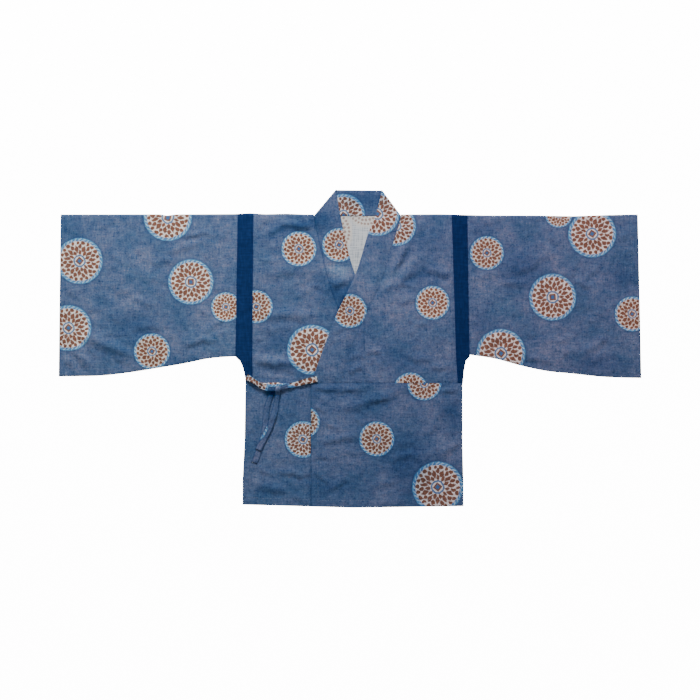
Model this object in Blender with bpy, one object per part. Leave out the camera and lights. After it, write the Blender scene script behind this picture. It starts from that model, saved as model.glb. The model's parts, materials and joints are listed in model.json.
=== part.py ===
"""A kimono-style wrap jacket, laid flat on its back with the fronts crossed and the side tie knotted.

Every piece is a closed cloth wall, named as its maker would name it. The jacket is measured as it lies:
x runs from the centre back towards the wearer's left, y up from the shoulder fold, z up from the table. All
sizes are in metres. "Right" and "left" are the wearer's, so the right front, which lies underneath, is at -x.
"""
import math
from collections import namedtuple

import bmesh
import bpy
import numpy as np

# Thicknesses and clearances
CLOTH = 0.0010
COLLAR_CLOTH = 0.0020
TIE_CLOTH = 0.0018
LAYER_GAP = 0.0004
SEAM_GAP = 0.0003
TIE_CLEARANCE = 0.0006

# Heights of the layers, and how the over front climbs onto the under one
FRONT = CLOTH + LAYER_GAP
SHOULDER_TURN = CLOTH + LAYER_GAP / 2
COLLAR_TURN = COLLAR_CLOTH + SEAM_GAP / 2
CLIMB_MARGIN = 0.016
CLIMB = 0.024
NECK_CLIMB = (-0.045, -0.015)
HIDDEN_FROM = (-0.045, -0.010)

# Where the main edges lie, down from the shoulder fold
WAIST = -0.3864
COLLAR_FOOT = -0.3862
UNDERARM = -0.3250

# Edges shared by both sides: distance from the centre back, on the wearer's right and left
Reach = namedtuple("Reach", "y right left")
BAND_SEAM = (
    Reach(0.0000, 0.2270, 0.2272),
    Reach(-0.3220, 0.2293, 0.2369),
    Reach(WAIST, 0.2286, 0.2410),
)
BAND_EDGE = (
    Reach(0.0000, 0.2627, 0.2629),
    Reach(UNDERARM, 0.2680, 0.2680),
    Reach(-0.3360, 0.2565, 0.2588),
    Reach(-0.3480, 0.2512, 0.2563),
    Reach(-0.3600, 0.2475, 0.2542),
    Reach(WAIST, 0.2450, 0.2519),
)
PEPLUM_SIDE = (
    Reach(-0.3700, 0.2450, 0.2519),
    Reach(-0.5200, 0.2473, 0.2519),
    Reach(-0.6100, 0.2519, 0.2542),
    Reach(-0.6750, 0.2519, 0.2542),
)
CUFF = (
    Reach(0.0000, 0.6682, 0.6532),
    Reach(-0.3750, 0.6728, 0.6613),
)

# Depth of the flat sleeve from its top fold, along it from the armhole (0) to the cuff (1)
Depth = namedtuple("Depth", "along right left")
SLEEVE_DEPTH = (
    Depth(0.00, 0.3250, 0.3215),
    Depth(0.15, 0.3300, 0.3305),
    Depth(0.30, 0.3422, 0.3465),
    Depth(0.45, 0.3525, 0.3590),
    Depth(0.60, 0.3622, 0.3650),
    Depth(0.75, 0.3692, 0.3715),
    Depth(0.88, 0.3708, 0.3742),
    Depth(1.00, 0.3713, 0.3750),
)

# Heights on the jacket of its waist seams and hem, at x
Level = namedtuple("Level", "x y")
BACK_WAIST = (Level(-0.2520, -0.3726), Level(0.2540, WAIST))
UNDER_WAIST = (
    Level(-0.2520, -0.3726),
    Level(-0.0950, -0.3810),
    Level(0.0200, -0.3863),
    Level(0.1000, -0.3863),
)
OVER_WAIST = (Level(-0.1000, WAIST), Level(0.2540, WAIST))
HEM = (Level(-0.2520, -0.6647), Level(0.0000, -0.6716), Level(0.2540, -0.6682))

# Collar: its free edge and its seam, from the turn at the neck down to the waist
Spot = namedtuple("Spot", "x y")
UNDER_FREE = (
    Spot(-0.0378, 0.0573),
    Spot(-0.0274, -0.0046),
    Spot(-0.0053, -0.1021),
    Spot(0.0260, -0.1900),
    Spot(0.0660, -0.2850),
    Spot(0.0985, -0.3860),
)
UNDER_SEAM = (
    Spot(-0.0880, -0.0023),
    Spot(-0.0770, -0.0598),
    Spot(-0.0531, -0.1587),
    Spot(-0.0220, -0.2400),
    Spot(0.0120, -0.3300),
    Spot(0.0270, -0.3860),
)
OVER_FREE = (
    Spot(0.0674, 0.0560),
    Spot(0.0529, -0.0023),
    Spot(0.0343, -0.0483),
    Spot(0.0069, -0.1369),
    Spot(-0.0391, -0.2351),
    Spot(-0.0828, -0.3526),
    Spot(-0.0934, COLLAR_FOOT),
)
OVER_SEAM = (
    Spot(0.1108, -0.0023),
    Spot(0.0886, -0.0782),
    Spot(0.0633, -0.1587),
    Spot(0.0327, -0.2231),
    Spot(0.0009, -0.2944),
    Spot(-0.0191, -0.3526),
    Spot(-0.0254, COLLAR_FOOT),
)
NECKLINE_DROP = 0.0041
NECK_CLEARANCE = 0.0007
COLLAR_CLEARANCE = 0.0002
COLLAR_SHARES = (0, 1 / 3, 2 / 3, 1)
OVERLAP_SEAM = 0.0265
PEPLUM_UNDER_EDGE = 0.0985
PEPLUM_OVER_EDGE = -0.0955

# Tie
TIE_WIDTH = 0.0145
TIE_SIDE_ROUTE = (Spot(-0.2430, -0.3720), Spot(-0.2270, -0.3812), Spot(-0.2080, -0.3930))
TIE_FRONT_ROUTE = (
    Spot(-0.0800, -0.3768),
    Spot(-0.1050, -0.3822),
    Spot(-0.1300, -0.3892),
    Spot(-0.1505, -0.3940),
)
TAIL_LONG_ROUTE = (
    Spot(-0.1708, -0.4122),
    Spot(-0.1735, -0.4260),
    Spot(-0.1769, -0.4474),
    Spot(-0.1829, -0.4669),
    Spot(-0.1902, -0.4888),
    Spot(-0.1973, -0.5032),
    Spot(-0.2075, -0.5221),
    Spot(-0.2165, -0.5405),
)
TAIL_SHORT_ROUTE = (
    Spot(-0.1863, -0.4122),
    Spot(-0.1953, -0.4405),
    Spot(-0.1985, -0.4646),
    Spot(-0.2003, -0.4830),
    Spot(-0.2063, -0.5175),
    Spot(-0.2128, -0.5382),
    Spot(-0.2252, -0.5693),
)
TAIL_CROSSING = Spot(-0.2060, -0.5080)
TAIL_LIFTED = 0.0400
TAIL_DOWN = 0.0733
COLLAR_HOLD = 0.034
COLLAR_HOLD_RAMP = 0.022

# Half knot: the gathered stretch that bridges from one taut stretch to the other, and the wrap over it
Gather = namedtuple("Gather", "x y width thick")
KNOT_BRIDGE = (
    Gather(-0.2076, -0.3933, 0.0145, 0.0020),
    Gather(-0.2042, -0.3954, 0.0148, 0.0032),
    Gather(-0.1935, -0.3978, 0.0190, 0.0056),
    Gather(-0.1800, -0.3988, 0.0225, 0.0064),
    Gather(-0.1660, -0.3982, 0.0205, 0.0058),
    Gather(-0.1549, -0.3950, 0.0150, 0.0032),
    Gather(-0.1510, -0.3941, 0.0145, 0.0020),
)
KNOT_ROW = 0.0030
KNOT_COLUMNS = 11
KNOT_PLEATS = (-0.26, 0.02, 0.27)
KNOT_PLEAT_BREADTH = 0.07
KNOT_PLEAT_DEPTH = 0.16
KNOT_WRAP = Spot(-0.1712, -0.3985)
KNOT_WRAP_LEAN = 0.15
KNOT_WRAP_HALF = 0.0062
KNOT_WRAP_RISE = 0.0022

# Largest folds of the upper layer: where a fold lies, half its run, how broad it is and how far it rises
Fold = namedtuple("Fold", "x y run_x run_y breadth rise")
FOLDS = (
    Fold(-0.132, -0.024, 0.039, 0.008, 0.011, 0.0022),
    Fold(-0.144, -0.120, 0.057, 0.000, 0.012, 0.0014),
    Fold(-0.155, -0.228, 0.050, -0.002, 0.012, 0.0014),
    Fold(-0.174, -0.336, 0.050, -0.005, 0.012, 0.0020),
    Fold(0.109, -0.097, 0.016, 0.033, 0.011, 0.0018),
    Fold(0.142, -0.110, 0.021, 0.021, 0.011, 0.0014),
    Fold(0.036, -0.426, 0.055, 0.015, 0.012, 0.0022),
    Fold(-0.029, -0.511, 0.037, 0.005, 0.012, 0.0014),
    Fold(-0.174, -0.626, 0.024, -0.008, 0.011, 0.0014),
    Fold(-0.558, -0.301, 0.058, -0.025, 0.014, 0.0028),
    Fold(-0.618, -0.327, 0.021, -0.024, 0.012, 0.0022),
    Fold(-0.351, -0.281, 0.046, 0.009, 0.014, 0.0018),
    Fold(-0.510, -0.220, 0.050, 0.014, 0.018, 0.0014),
    Fold(0.385, -0.108, 0.037, 0.018, 0.018, 0.0014),
    Fold(0.500, -0.310, 0.070, -0.012, 0.018, 0.0014),
    Fold(0.570, -0.195, 0.012, -0.046, 0.016, 0.0012),
    Fold(0.205, -0.437, 0.008, -0.032, 0.014, 0.0014),
    Fold(0.178, -0.545, 0.040, 0.016, 0.015, 0.0014),
)

# The broad swell of the upper layer: its height, and the lengths of its two crossed waves along x and y
SWELL = 0.0005
SWELL_SLANT = Spot(0.300, 0.470)
SWELL_CROSS = Spot(0.900, 0.290)
SWELL_START = 0.8
SETTLE = 0.045

# Spacing of the rows and columns in the walls
FRONT_CELL = 0.017
BACK_CELL = 0.090
FOLD_CELL = 0.004
SLEEVE_RINGS = 24
SLEEVE_FRONT_STEPS = 21
SLEEVE_BACK_STEPS = 5
COLLAR_ROW = 0.020
NECK_ROWS = 9
TAPE_ROW = 0.009

PRINTED_CLOTH = (0.066, 0.118, 0.225, 1.0)
NAVY_CLOTH = (0.004, 0.026, 0.092, 1.0)

# The part's origin is under the middle of the jacket's box
ORIGIN = Spot((CUFF[1].left - CUFF[1].right) / 2, (UNDER_FREE[0].y + HEM[1].y) / 2)


def ramp(value):
    """0 below 0, 1 above 1, eased between."""
    held = min(max(value, 0.0), 1.0)
    return held * held * (3 - 2 * held)


def reach(table, side, y):
    """Distance from the centre back of an edge that both sides have."""
    return float(np.interp(-y, [-row.y for row in table], [getattr(row, side) for row in table]))


def level(table, x):
    """Height on the jacket of a waist seam or hem."""
    return float(np.interp(x, [spot.x for spot in table], [spot.y for spot in table]))


def bends(table, start, end):
    """The table's own points between two values of x, in the order from start to end."""
    inside = [spot for spot in table if min(start, end) < spot.x < max(start, end)]
    return sorted(inside, key=lambda spot: abs(spot.x - start))


def smooth(points, spacing):
    """Points about spacing apart along a Catmull-Rom curve through the given ones."""
    known = np.array([(p.x, p.y) for p in points])
    known = np.vstack([2 * known[0] - known[1], known, 2 * known[-1] - known[-2]])
    fine = []
    for before, start, end, after in zip(known, known[1:], known[2:], known[3:]):
        for t in np.linspace(0, 1, 24, endpoint=False):
            pull = (end - before) * t + (2 * before - 5 * start + 4 * end - after) * t**2
            pull = pull + (3 * start - before - 3 * end + after) * t**3
            fine.append(start + pull / 2)
    fine = np.array(fine + [known[-2]])
    run = np.concatenate([[0], np.cumsum(np.linalg.norm(np.diff(fine, axis=0), axis=1))])
    count = max(2, round(run[-1] / spacing) + 1)
    at = np.linspace(0, run[-1], count)
    return np.column_stack([np.interp(at, run, fine[:, 0]), np.interp(at, run, fine[:, 1])])


def paired(free, seam):
    """The collar's two edges with the same number of rows."""
    rows = len(smooth(free, COLLAR_ROW))
    edges = []
    for points in (free, seam):
        fine = smooth(points, COLLAR_ROW / 10)
        at = np.linspace(0, len(fine) - 1, rows)
        steps = np.arange(len(fine))
        edges.append(np.column_stack([np.interp(at, steps, fine[:, 0]), np.interp(at, steps, fine[:, 1])]))
    return edges


UNDER_EDGES = paired(UNDER_FREE, UNDER_SEAM)
OVER_EDGES = paired(OVER_FREE, OVER_SEAM)


def edge_x(edge, y):
    """x of a collar edge at y."""
    return float(np.interp(-y, -edge[:, 1], edge[:, 0]))


def sleeve_depth(side, along):
    """How deep the flat sleeve is, from the armhole at 0 to the cuff at 1."""
    depths = [getattr(row, side) for row in SLEEVE_DEPTH]
    return float(np.interp(along, [row.along for row in SLEEVE_DEPTH], depths))


def settle(x, y):
    """0 where the cloth is held down by a folded or sewn edge, 1 away from those edges."""
    side = "right" if x < 0 else "left"
    across = abs(x)
    held = ramp(-y / SETTLE)
    armhole = reach(BAND_EDGE, side, max(y, UNDERARM))
    cuff = reach(CUFF, side, y)
    along = min(max((across - armhole) / (cuff - armhole), 0.0), 1.0)
    sleeve = ramp((y + sleeve_depth(side, along)) / SETTLE)
    if y < level(BACK_WAIST, x):
        return held * ramp((reach(PEPLUM_SIDE, side, y) - across) / SETTLE)
    beside_sleeve = ramp((across - BAND_SEAM[0].right) / (BAND_EDGE[0].right - BAND_SEAM[0].right))
    return held * (1 - (1 - sleeve) * beside_sleeve)


def loft(x, y, covered=False):
    """How far the upper layer stands off the lower one. A covered layer has only the broad swell."""
    slant = math.sin(math.tau * (x / SWELL_SLANT.x + y / SWELL_SLANT.y) + SWELL_START)
    cross = math.cos(math.tau * (y / SWELL_CROSS.y - x / SWELL_CROSS.x))
    height = SWELL * (1 + slant * cross)
    for fold in FOLDS:
        run = math.hypot(fold.run_x, fold.run_y)
        along = ((x - fold.x) * fold.run_x + (y - fold.y) * fold.run_y) / run
        across = ((x - fold.x) * fold.run_y - (y - fold.y) * fold.run_x) / run
        ridge = fold.rise * math.exp(-((across / fold.breadth) ** 2)) * math.exp(-((along / run) ** 4))
        height += 0.0 if covered else ridge
    return height * settle(x, y)


def under_base(x, y):
    """Underside of the right front, which hides under the left one near the middle."""
    over = edge_x(OVER_EDGES[0], y) if y > COLLAR_FOOT else PEPLUM_OVER_EDGE
    hidden = ramp((x - over - HIDDEN_FROM[0]) / (HIDDEN_FROM[1] - HIDDEN_FROM[0]))
    return FRONT + loft(x, y) * (1 - hidden) + loft(x, y, covered=True) * hidden


def over_climb(x, y):
    """How far the left front is lifted by what lies under it: cloth, or the collar's double cloth."""
    free = edge_x(UNDER_EDGES[0], y) if y > WAIST else PEPLUM_UNDER_EDGE
    seam = edge_x(UNDER_EDGES[1], y)
    reach_out = CLIMB_MARGIN + CLIMB
    on_cloth = ramp((free + reach_out - x) / CLIMB)
    on_collar = on_cloth * ramp((x - seam + reach_out) / CLIMB) * ramp((y - WAIST + reach_out) / CLIMB)
    return (CLOTH + LAYER_GAP) * on_cloth + (COLLAR_CLOTH - CLOTH) * on_collar


def over_base(x, y):
    """Underside of the left front."""
    return FRONT + loft(x, y) + over_climb(x, y)


def neck_climb(y):
    """How far the collar's fronts stand on its back-neck stretch."""
    return (COLLAR_CLOTH + SEAM_GAP - FRONT) * ramp((y - NECK_CLIMB[0]) / (NECK_CLIMB[1] - NECK_CLIMB[0]))


def material(name, colour):
    cloth = bpy.data.materials.new(name)
    cloth.use_nodes = True
    shader = cloth.node_tree.nodes["Principled BSDF"]
    shader.inputs["Base Color"].default_value = colour
    shader.inputs["Roughness"].default_value = 0.85
    shader.inputs["Metallic"].default_value = 0.0
    return cloth


def add_piece(name, shape, colour):
    """Turn a closed bmesh, drawn as the jacket lies, into a named object in the part's frame."""
    for vertex in shape.verts:
        vertex.co.x -= ORIGIN.x
        vertex.co.y -= ORIGIN.y
    bmesh.ops.recalc_face_normals(shape, faces=shape.faces)
    if shape.calc_volume(signed=True) < 0:
        bmesh.ops.reverse_faces(shape, faces=shape.faces)
    mesh = bpy.data.meshes.new(name)
    shape.to_mesh(mesh)
    shape.free()
    mesh.shade_smooth()
    mesh.set_sharp_from_angle(angle=math.radians(40))
    piece = bpy.data.objects.new(name, mesh)
    piece.data.materials.append(material(name + "_cloth", colour))
    bpy.context.scene.collection.objects.link(piece)
    return piece


def panel(name, outline, columns, rows, lay, colour=PRINTED_CLOTH):
    """A cloth wall from its flat outline, cut along columns and rows. lay gives an outer and inner point."""
    flat = bmesh.new()
    flat.faces.new([flat.verts.new((x, v, 0)) for x, v in outline])
    for axis, lines in (((1, 0, 0), columns), ((0, 1, 0), rows)):
        for line in lines:
            whole = flat.verts[:] + flat.edges[:] + flat.faces[:]
            at = [component * line for component in axis]
            bmesh.ops.bisect_plane(flat, geom=whole, dist=1e-5, plane_co=at, plane_no=axis)
    flat.verts.index_update()
    wall = bmesh.new()
    laid = [lay(vertex.co.x, vertex.co.y) for vertex in flat.verts]
    outer = [wall.verts.new(pair[0]) for pair in laid]
    inner = [wall.verts.new(pair[1]) for pair in laid]
    for face in flat.faces:
        corners = [vertex.index for vertex in face.verts]
        wall.faces.new([outer[i] for i in corners])
        wall.faces.new([inner[i] for i in reversed(corners)])
    for edge in flat.edges:
        if edge.is_boundary:
            start, end = (vertex.index for vertex in edge.verts)
            wall.faces.new([outer[start], outer[end], inner[end], inner[start]])
    flat.free()
    return add_piece(name, wall, colour)


def ribbon(name, outer, inner, colour=PRINTED_CLOTH, closed=False):
    """A cloth wall from rows of outer points and the inner ones behind them, or a tube if the rows close."""
    wall = bmesh.new()
    faces = [[[wall.verts.new(point) for point in row] for row in rows] for rows in (outer, inner)]
    length, width = len(outer), len(outer[0])
    around = width if closed else width - 1
    for rows in faces:
        for i in range(length - 1):
            for j in range(around):
                k = (j + 1) % width
                wall.faces.new([rows[i][j], rows[i][k], rows[i + 1][k], rows[i + 1][j]])
    top, under = faces
    for i in (0, length - 1):
        for j in range(around):
            k = (j + 1) % width
            wall.faces.new([top[i][j], top[i][k], under[i][k], under[i][j]])
    if not closed:
        for j in (0, width - 1):
            for i in range(length - 1):
                wall.faces.new([top[i][j], top[i + 1][j], under[i + 1][j], under[i][j]])
    return add_piece(name, wall, colour)


def lines(low, high, cell):
    """Evenly spaced cuts between two edges, about a cell apart."""
    count = max(2, round((high - low) / cell) + 1)
    return list(np.linspace(low, high, count)[1:-1])


def turn_lines():
    """Cuts along the shoulder fold, so that the wall rolls over it."""
    return [SHOULDER_TURN * step for step in (-1, -0.5, 0, 0.5, 1)]


def over_shoulder(base):
    """Lay a piece with its fold on the shoulder: v is y on the front, and -y on the back, which lies flat."""
    middle = SHOULDER_TURN
    radii = (middle, middle - CLOTH)

    def lay(x, v):
        if v >= SHOULDER_TURN:
            return (x, -v, 0), (x, -v, CLOTH)
        if v <= -SHOULDER_TURN:
            under = base(x, v)
            return (x, v, under + CLOTH), (x, v, under)
        rise, run = math.sin(-v / middle * math.pi / 2), math.cos(-v / middle * math.pi / 2)
        outer, inner = ((x, -middle + radius * run, middle + radius * rise) for radius in radii)
        return outer, inner

    return lay


def front_panel(base):
    """Lay a flat front piece on what its base follows."""

    def lay(x, y):
        under = base(x, y)
        return (x, y, under + CLOTH), (x, y, under)

    return lay


def back_panel(x, y):
    """Lay a piece flat on the table."""
    return (x, y, 0), (x, y, CLOTH)


def front_rules(side):
    """What shapes a front: its sign in x, its collar seam, what it lies on, and its waist seam."""
    if side == "right":
        return -1, UNDER_EDGES[1], under_base, UNDER_WAIST
    return 1, OVER_EDGES[1], over_base, OVER_WAIST


def meets_collar(seam, x, sign):
    """Height on the jacket where the upright line at x meets the collar seam."""
    return float(np.interp(-sign * x, -sign * seam[:, 0], seam[:, 1]))


def make_body(side):
    """One bodice half: the back from the centre seam, over the shoulder, and the front down to the waist."""
    sign, seam, base, waist = front_rules(side)
    inset = SEAM_GAP / 2
    neck = seam[0][0] + sign * NECK_CLEARANCE
    overlap = sign * (OVERLAP_SEAM + inset)
    meets = meets_collar(seam, overlap, sign)
    top = sign * (reach(BAND_SEAM, side, 0) - inset)
    underarm = sign * (reach(BAND_SEAM, side, BAND_SEAM[1].y) - inset)
    foot = sign * (reach(BAND_SEAM, side, WAIST) - inset)
    outline = [(neck, 0.0)]
    outline += [(x + sign * COLLAR_CLEARANCE, y) for x, y in seam[1:] if y > meets + FOLD_CELL]
    outline += [(overlap, meets), (overlap, level(waist, overlap) + inset)]
    outline += [(spot.x, spot.y + inset) for spot in bends(waist, overlap, foot)]
    outline += [(foot, level(waist, foot) + inset), (underarm, BAND_SEAM[1].y), (top, 0.0)]
    outline += [(underarm, -BAND_SEAM[1].y), (foot, -level(BACK_WAIST, foot) - inset)]
    outline += [(sign * inset, -level(BACK_WAIST, 0) - inset), (sign * inset, NECKLINE_DROP)]
    outline.append((neck, NECKLINE_DROP))
    columns = lines(min(0, top, overlap), max(0, top, overlap), FRONT_CELL)
    rows = lines(WAIST, -FOLD_CELL, FRONT_CELL) + turn_lines() + lines(FOLD_CELL, -WAIST, BACK_CELL)
    return panel("body_" + side, outline, columns, rows, over_shoulder(base))


def make_overlap(side):
    """The wedge between a front and the collar, from where its seams meet down to the waist."""
    sign, seam, base, waist = front_rules(side)
    inset = SEAM_GAP / 2
    straight = sign * (OVERLAP_SEAM - inset)
    slanted = seam + (sign * COLLAR_CLEARANCE, 0)
    tip = meets_collar(slanted, straight, sign)
    foot = edge_x(slanted, COLLAR_FOOT)
    outline = [(straight, tip)]
    outline += [(x, y) for x, y in slanted if COLLAR_FOOT + FOLD_CELL < y < tip - FOLD_CELL]
    outline.append((foot, level(waist, foot) + inset))
    outline += [(spot.x, spot.y + inset) for spot in bends(waist, foot, straight)]
    outline.append((straight, level(waist, straight) + inset))
    return panel("overlap_" + side, outline, [], lines(WAIST, tip, FRONT_CELL), front_panel(base))


def make_band(side):
    """The navy strip over the shoulder between bodice and sleeve, and down the side to the waist."""
    sign, _, base, waist = front_rules(side)
    inset = SEAM_GAP / 2
    inner = [(sign * (getattr(row, side) + inset), row.y) for row in BAND_SEAM[:2]]
    outer = [(sign * (getattr(row, side) - inset), row.y) for row in BAND_EDGE[:-1]]
    inner_foot = sign * (reach(BAND_SEAM, side, WAIST) + inset)
    outer_foot = sign * (reach(BAND_EDGE, side, WAIST) - inset)
    front = inner + [(inner_foot, level(waist, inner_foot) + inset)]
    front += [(outer_foot, level(waist, outer_foot) + inset)] + outer[::-1]
    back = [(x, -y) for x, y in outer[1:]] + [(outer_foot, -level(BACK_WAIST, outer_foot) - inset)]
    back += [(inner_foot, -level(BACK_WAIST, inner_foot) - inset), (inner[1][0], -inner[1][1])]
    middle = (inner[0][0] + outer[0][0]) / 2
    rows = lines(UNDERARM, -FOLD_CELL, FRONT_CELL) + turn_lines() + lines(FOLD_CELL, -UNDERARM, BACK_CELL)
    return panel("armhole_band_" + side, front + back, [middle], rows, over_shoulder(base), NAVY_CLOTH)


def make_sleeve(side):
    """The sleeve, a flat tube folded along its top and sewn along its bottom, open at cuff and armhole."""
    sign = front_rules(side)[0]
    turns = (0.5, 0.0, -0.5)
    hollow = SHOULDER_TURN - CLOTH
    front_steps = np.linspace(0, 1, SLEEVE_FRONT_STEPS)
    back_steps = np.linspace(1, 0, SLEEVE_BACK_STEPS)
    outer, inner = [], []
    for along in np.linspace(0, 1, SLEEVE_RINGS):
        depth = sleeve_depth(side, along) - 2 * SHOULDER_TURN
        around = []
        for step in front_steps:
            around.append((-SHOULDER_TURN - step * depth, None))
        for turn in turns:
            around.append((-SHOULDER_TURN - depth, (-1, turn)))
        for step in back_steps:
            around.append((-SHOULDER_TURN - step * depth, "flat"))
        for turn in turns[::-1]:
            around.append((-SHOULDER_TURN, (1, turn)))
        for row, radius, back, front in ((outer, SHOULDER_TURN, 0, CLOTH), (inner, hollow, CLOTH, 0)):
            ring = []
            for y, kind in around:
                armhole = reach(BAND_EDGE, side, max(y, UNDERARM)) + SEAM_GAP / 2
                x = sign * (armhole + along * (reach(CUFF, side, y) - armhole))
                if kind is None:
                    ring.append((x, y, FRONT + loft(x, y) + front))
                elif kind == "flat":
                    ring.append((x, y, back))
                else:
                    angle = kind[1] * math.pi / 2
                    turned = y + kind[0] * radius * math.cos(angle)
                    ring.append((x, turned, SHOULDER_TURN + radius * math.sin(angle)))
            row.append(ring)
    return ribbon("sleeve_" + side, outer, inner, closed=True)


def peplum_outline(low, high, waist):
    """Outline of a lower piece between x = low and high, or a side seam where that is None."""
    inset = SEAM_GAP / 2
    right = [(-row.right, row.y) for row in PEPLUM_SIDE[1:3]]
    left = [(row.left, row.y) for row in PEPLUM_SIDE[1:3]]
    first = -PEPLUM_SIDE[0].right if low is None else low
    last = PEPLUM_SIDE[0].left if high is None else high
    first_foot = -PEPLUM_SIDE[-1].right if low is None else low
    last_foot = PEPLUM_SIDE[-1].left if high is None else high
    points = [(first, level(waist, first) - inset)]
    points += right if low is None else []
    points.append((first_foot, level(HEM, first_foot)))
    points.append((0.0, HEM[1].y))
    points.append((last_foot, level(HEM, last_foot)))
    points += left[::-1] if high is None else []
    points.append((last, level(waist, last) - inset))
    points += [(spot.x, spot.y - inset) for spot in bends(waist, last, first)]
    return points


def make_peplum():
    """The lower part: a back, the under front and the over front."""
    low, high = -PEPLUM_SIDE[0].right, PEPLUM_SIDE[0].left
    bottom = HEM[1].y
    rows = lines(bottom, WAIST, FRONT_CELL)
    back = peplum_outline(None, None, BACK_WAIST)
    panel("peplum_back", back, lines(low, high, BACK_CELL), lines(bottom, WAIST, BACK_CELL), back_panel)
    under = peplum_outline(None, PEPLUM_UNDER_EDGE, UNDER_WAIST)
    panel("peplum_right", under, lines(low, PEPLUM_UNDER_EDGE, FRONT_CELL), rows, front_panel(under_base))
    over = peplum_outline(PEPLUM_OVER_EDGE, None, OVER_WAIST)
    panel("peplum_left", over, lines(PEPLUM_OVER_EDGE, high, FRONT_CELL), rows, front_panel(over_base))


def collar_row(free, seam, base):
    """A row across a front stretch of the collar: its top points and the underside."""
    top, under = [], []
    for share in COLLAR_SHARES:
        x, y = free + (seam - free) * share
        height = base(x, y)
        top.append((x, y, height + COLLAR_CLOTH))
        under.append((x, y, height))
    return top, under


def collar_turn(free, seam, outward, upward):
    """The roll where the collar turns between the back neck and a front, as rows up or down."""
    axis = (seam - free) / np.linalg.norm(seam - free)
    normal = np.array((-axis[1], axis[0])) * outward
    rows = []
    steps = (-1, -0.5, 0, 0.5, 1)
    for step in steps if upward else steps[::-1]:
        angle = step * math.pi / 2
        pair = []
        for radius in (COLLAR_TURN, SEAM_GAP / 2):
            line = []
            for share in COLLAR_SHARES:
                at = free + (seam - free) * share + normal * (radius * math.cos(angle) - COLLAR_TURN)
                line.append((at[0], at[1], COLLAR_TURN + radius * math.sin(angle)))
            pair.append(line)
        rows.append(pair)
    return rows


def make_collar():
    """The collar, one double strip: up the under front, turned over the back neck and down the over front."""
    shift = SEAM_GAP / 2
    under_free, under_seam = (edge.copy() for edge in UNDER_EDGES)
    over_free, over_seam = (edge.copy() for edge in OVER_EDGES)
    under_seam[1:, 0] += shift
    over_seam[1:, 0] -= shift

    def under_bed(x, y):
        return under_base(x, y) + neck_climb(y)

    def over_bed(x, y):
        return over_base(x, y) + neck_climb(y)

    rows = [collar_row(f, s, under_bed) for f, s in zip(under_free[:0:-1], under_seam[:0:-1])]
    first_turn = collar_turn(under_free[0], under_seam[0], -1, upward=False)
    last_turn = collar_turn(over_free[0], over_seam[0], 1, upward=True)
    start, end = np.array(first_turn[-1]), np.array(last_turn[0])
    rows += first_turn
    rows += [start + (end - start) * share for share in np.linspace(0, 1, NECK_ROWS)[1:-1]]
    rows += last_turn
    rows += [collar_row(f, s, over_bed) for f, s in zip(over_free[1:], over_seam[1:])]
    return ribbon("collar", [row[0] for row in rows], [row[1] for row in rows])


def headings(middle):
    """Unit steps along a route."""
    ahead = np.gradient(middle, axis=0)
    return ahead / np.linalg.norm(ahead, axis=1)[:, None]


def tape(name, route, bed):
    """A stretch of the tie along its route, lying on bed(x, y)."""
    middle = smooth(route, TAPE_ROW)
    top, under = [], []
    for (x, y), (dx, dy) in zip(middle, headings(middle)):
        across = [(x - dy * TIE_WIDTH * share, y + dx * TIE_WIDTH * share) for share in (-0.5, 0, 0.5)]
        height = max(bed(px, py) for px, py in across)
        under.append([(px, py, height) for px, py in across])
        top.append([(px, py, height + TIE_CLOTH) for px, py in across])
    return ribbon(name, top, under)


def tie_bed(x, y):
    """The under front's top, with the clearance that the tie keeps over it."""
    return under_base(x, y) + CLOTH + TIE_CLEARANCE


def front_tie_bed(x, y):
    """As tie_bed, climbing onto the over front's collar at the end that is sewn there."""
    on_collar = ramp((x - edge_x(OVER_EDGES[0], y) + COLLAR_HOLD) / COLLAR_HOLD_RAMP)
    return tie_bed(x, y) + (over_climb(x, y) + COLLAR_CLOTH - CLOTH + LAYER_GAP) * on_collar


def long_tail_bed(x, y):
    """As tie_bed, lifted over the short end where they cross."""
    lifted = ramp((TAIL_DOWN - abs(y - TAIL_CROSSING.y)) / (TAIL_DOWN - TAIL_LIFTED))
    return tie_bed(x, y) + (TIE_CLOTH + LAYER_GAP) * lifted


def knot_swell(x, y):
    """How far the wrap lifts the bridge's top, 1 at its crest."""
    across = (x - KNOT_WRAP.x + KNOT_WRAP_LEAN * (y - KNOT_WRAP.y)) / KNOT_WRAP_HALF
    return math.exp(-(across**4))


def make_knot():
    """The half knot: the tie gathered into a thick bridge with lengthwise pleats, and the wrap across it."""
    middle = smooth(KNOT_BRIDGE, KNOT_ROW)
    at = np.linspace(0, len(KNOT_BRIDGE) - 1, len(middle))
    known = np.arange(len(KNOT_BRIDGE))
    widths = np.interp(at, known, [gather.width for gather in KNOT_BRIDGE])
    thicks = np.interp(at, known, [gather.thick for gather in KNOT_BRIDGE])
    shares = np.sin(np.linspace(-0.5, 0.5, KNOT_COLUMNS) * math.pi) / 2
    top, under = [], []
    for (x, y), (dx, dy), width, thick in zip(middle, headings(middle), widths, thicks):
        across = [(x - dy * width * share, y + dx * width * share) for share in shares]
        height = max(tie_bed(px, py) for px, py in across)
        under.append([(px, py, height) for px, py in across])
        row = []
        for share, (px, py) in zip(shares, across):
            pleats = sum(math.exp(-(((share - pleat) / KNOT_PLEAT_BREADTH) ** 2)) for pleat in KNOT_PLEATS)
            edge = math.sqrt(max(0.0, 1 - (2 * share) ** 4))
            rise = TIE_CLOTH / 2 + (thick - TIE_CLOTH / 2) * edge * (1 - KNOT_PLEAT_DEPTH * pleats)
            row.append((px, py, height + rise + KNOT_WRAP_RISE * knot_swell(px, py) * edge))
        top.append(row)
    return ribbon("tie_knot", top, under)


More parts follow.
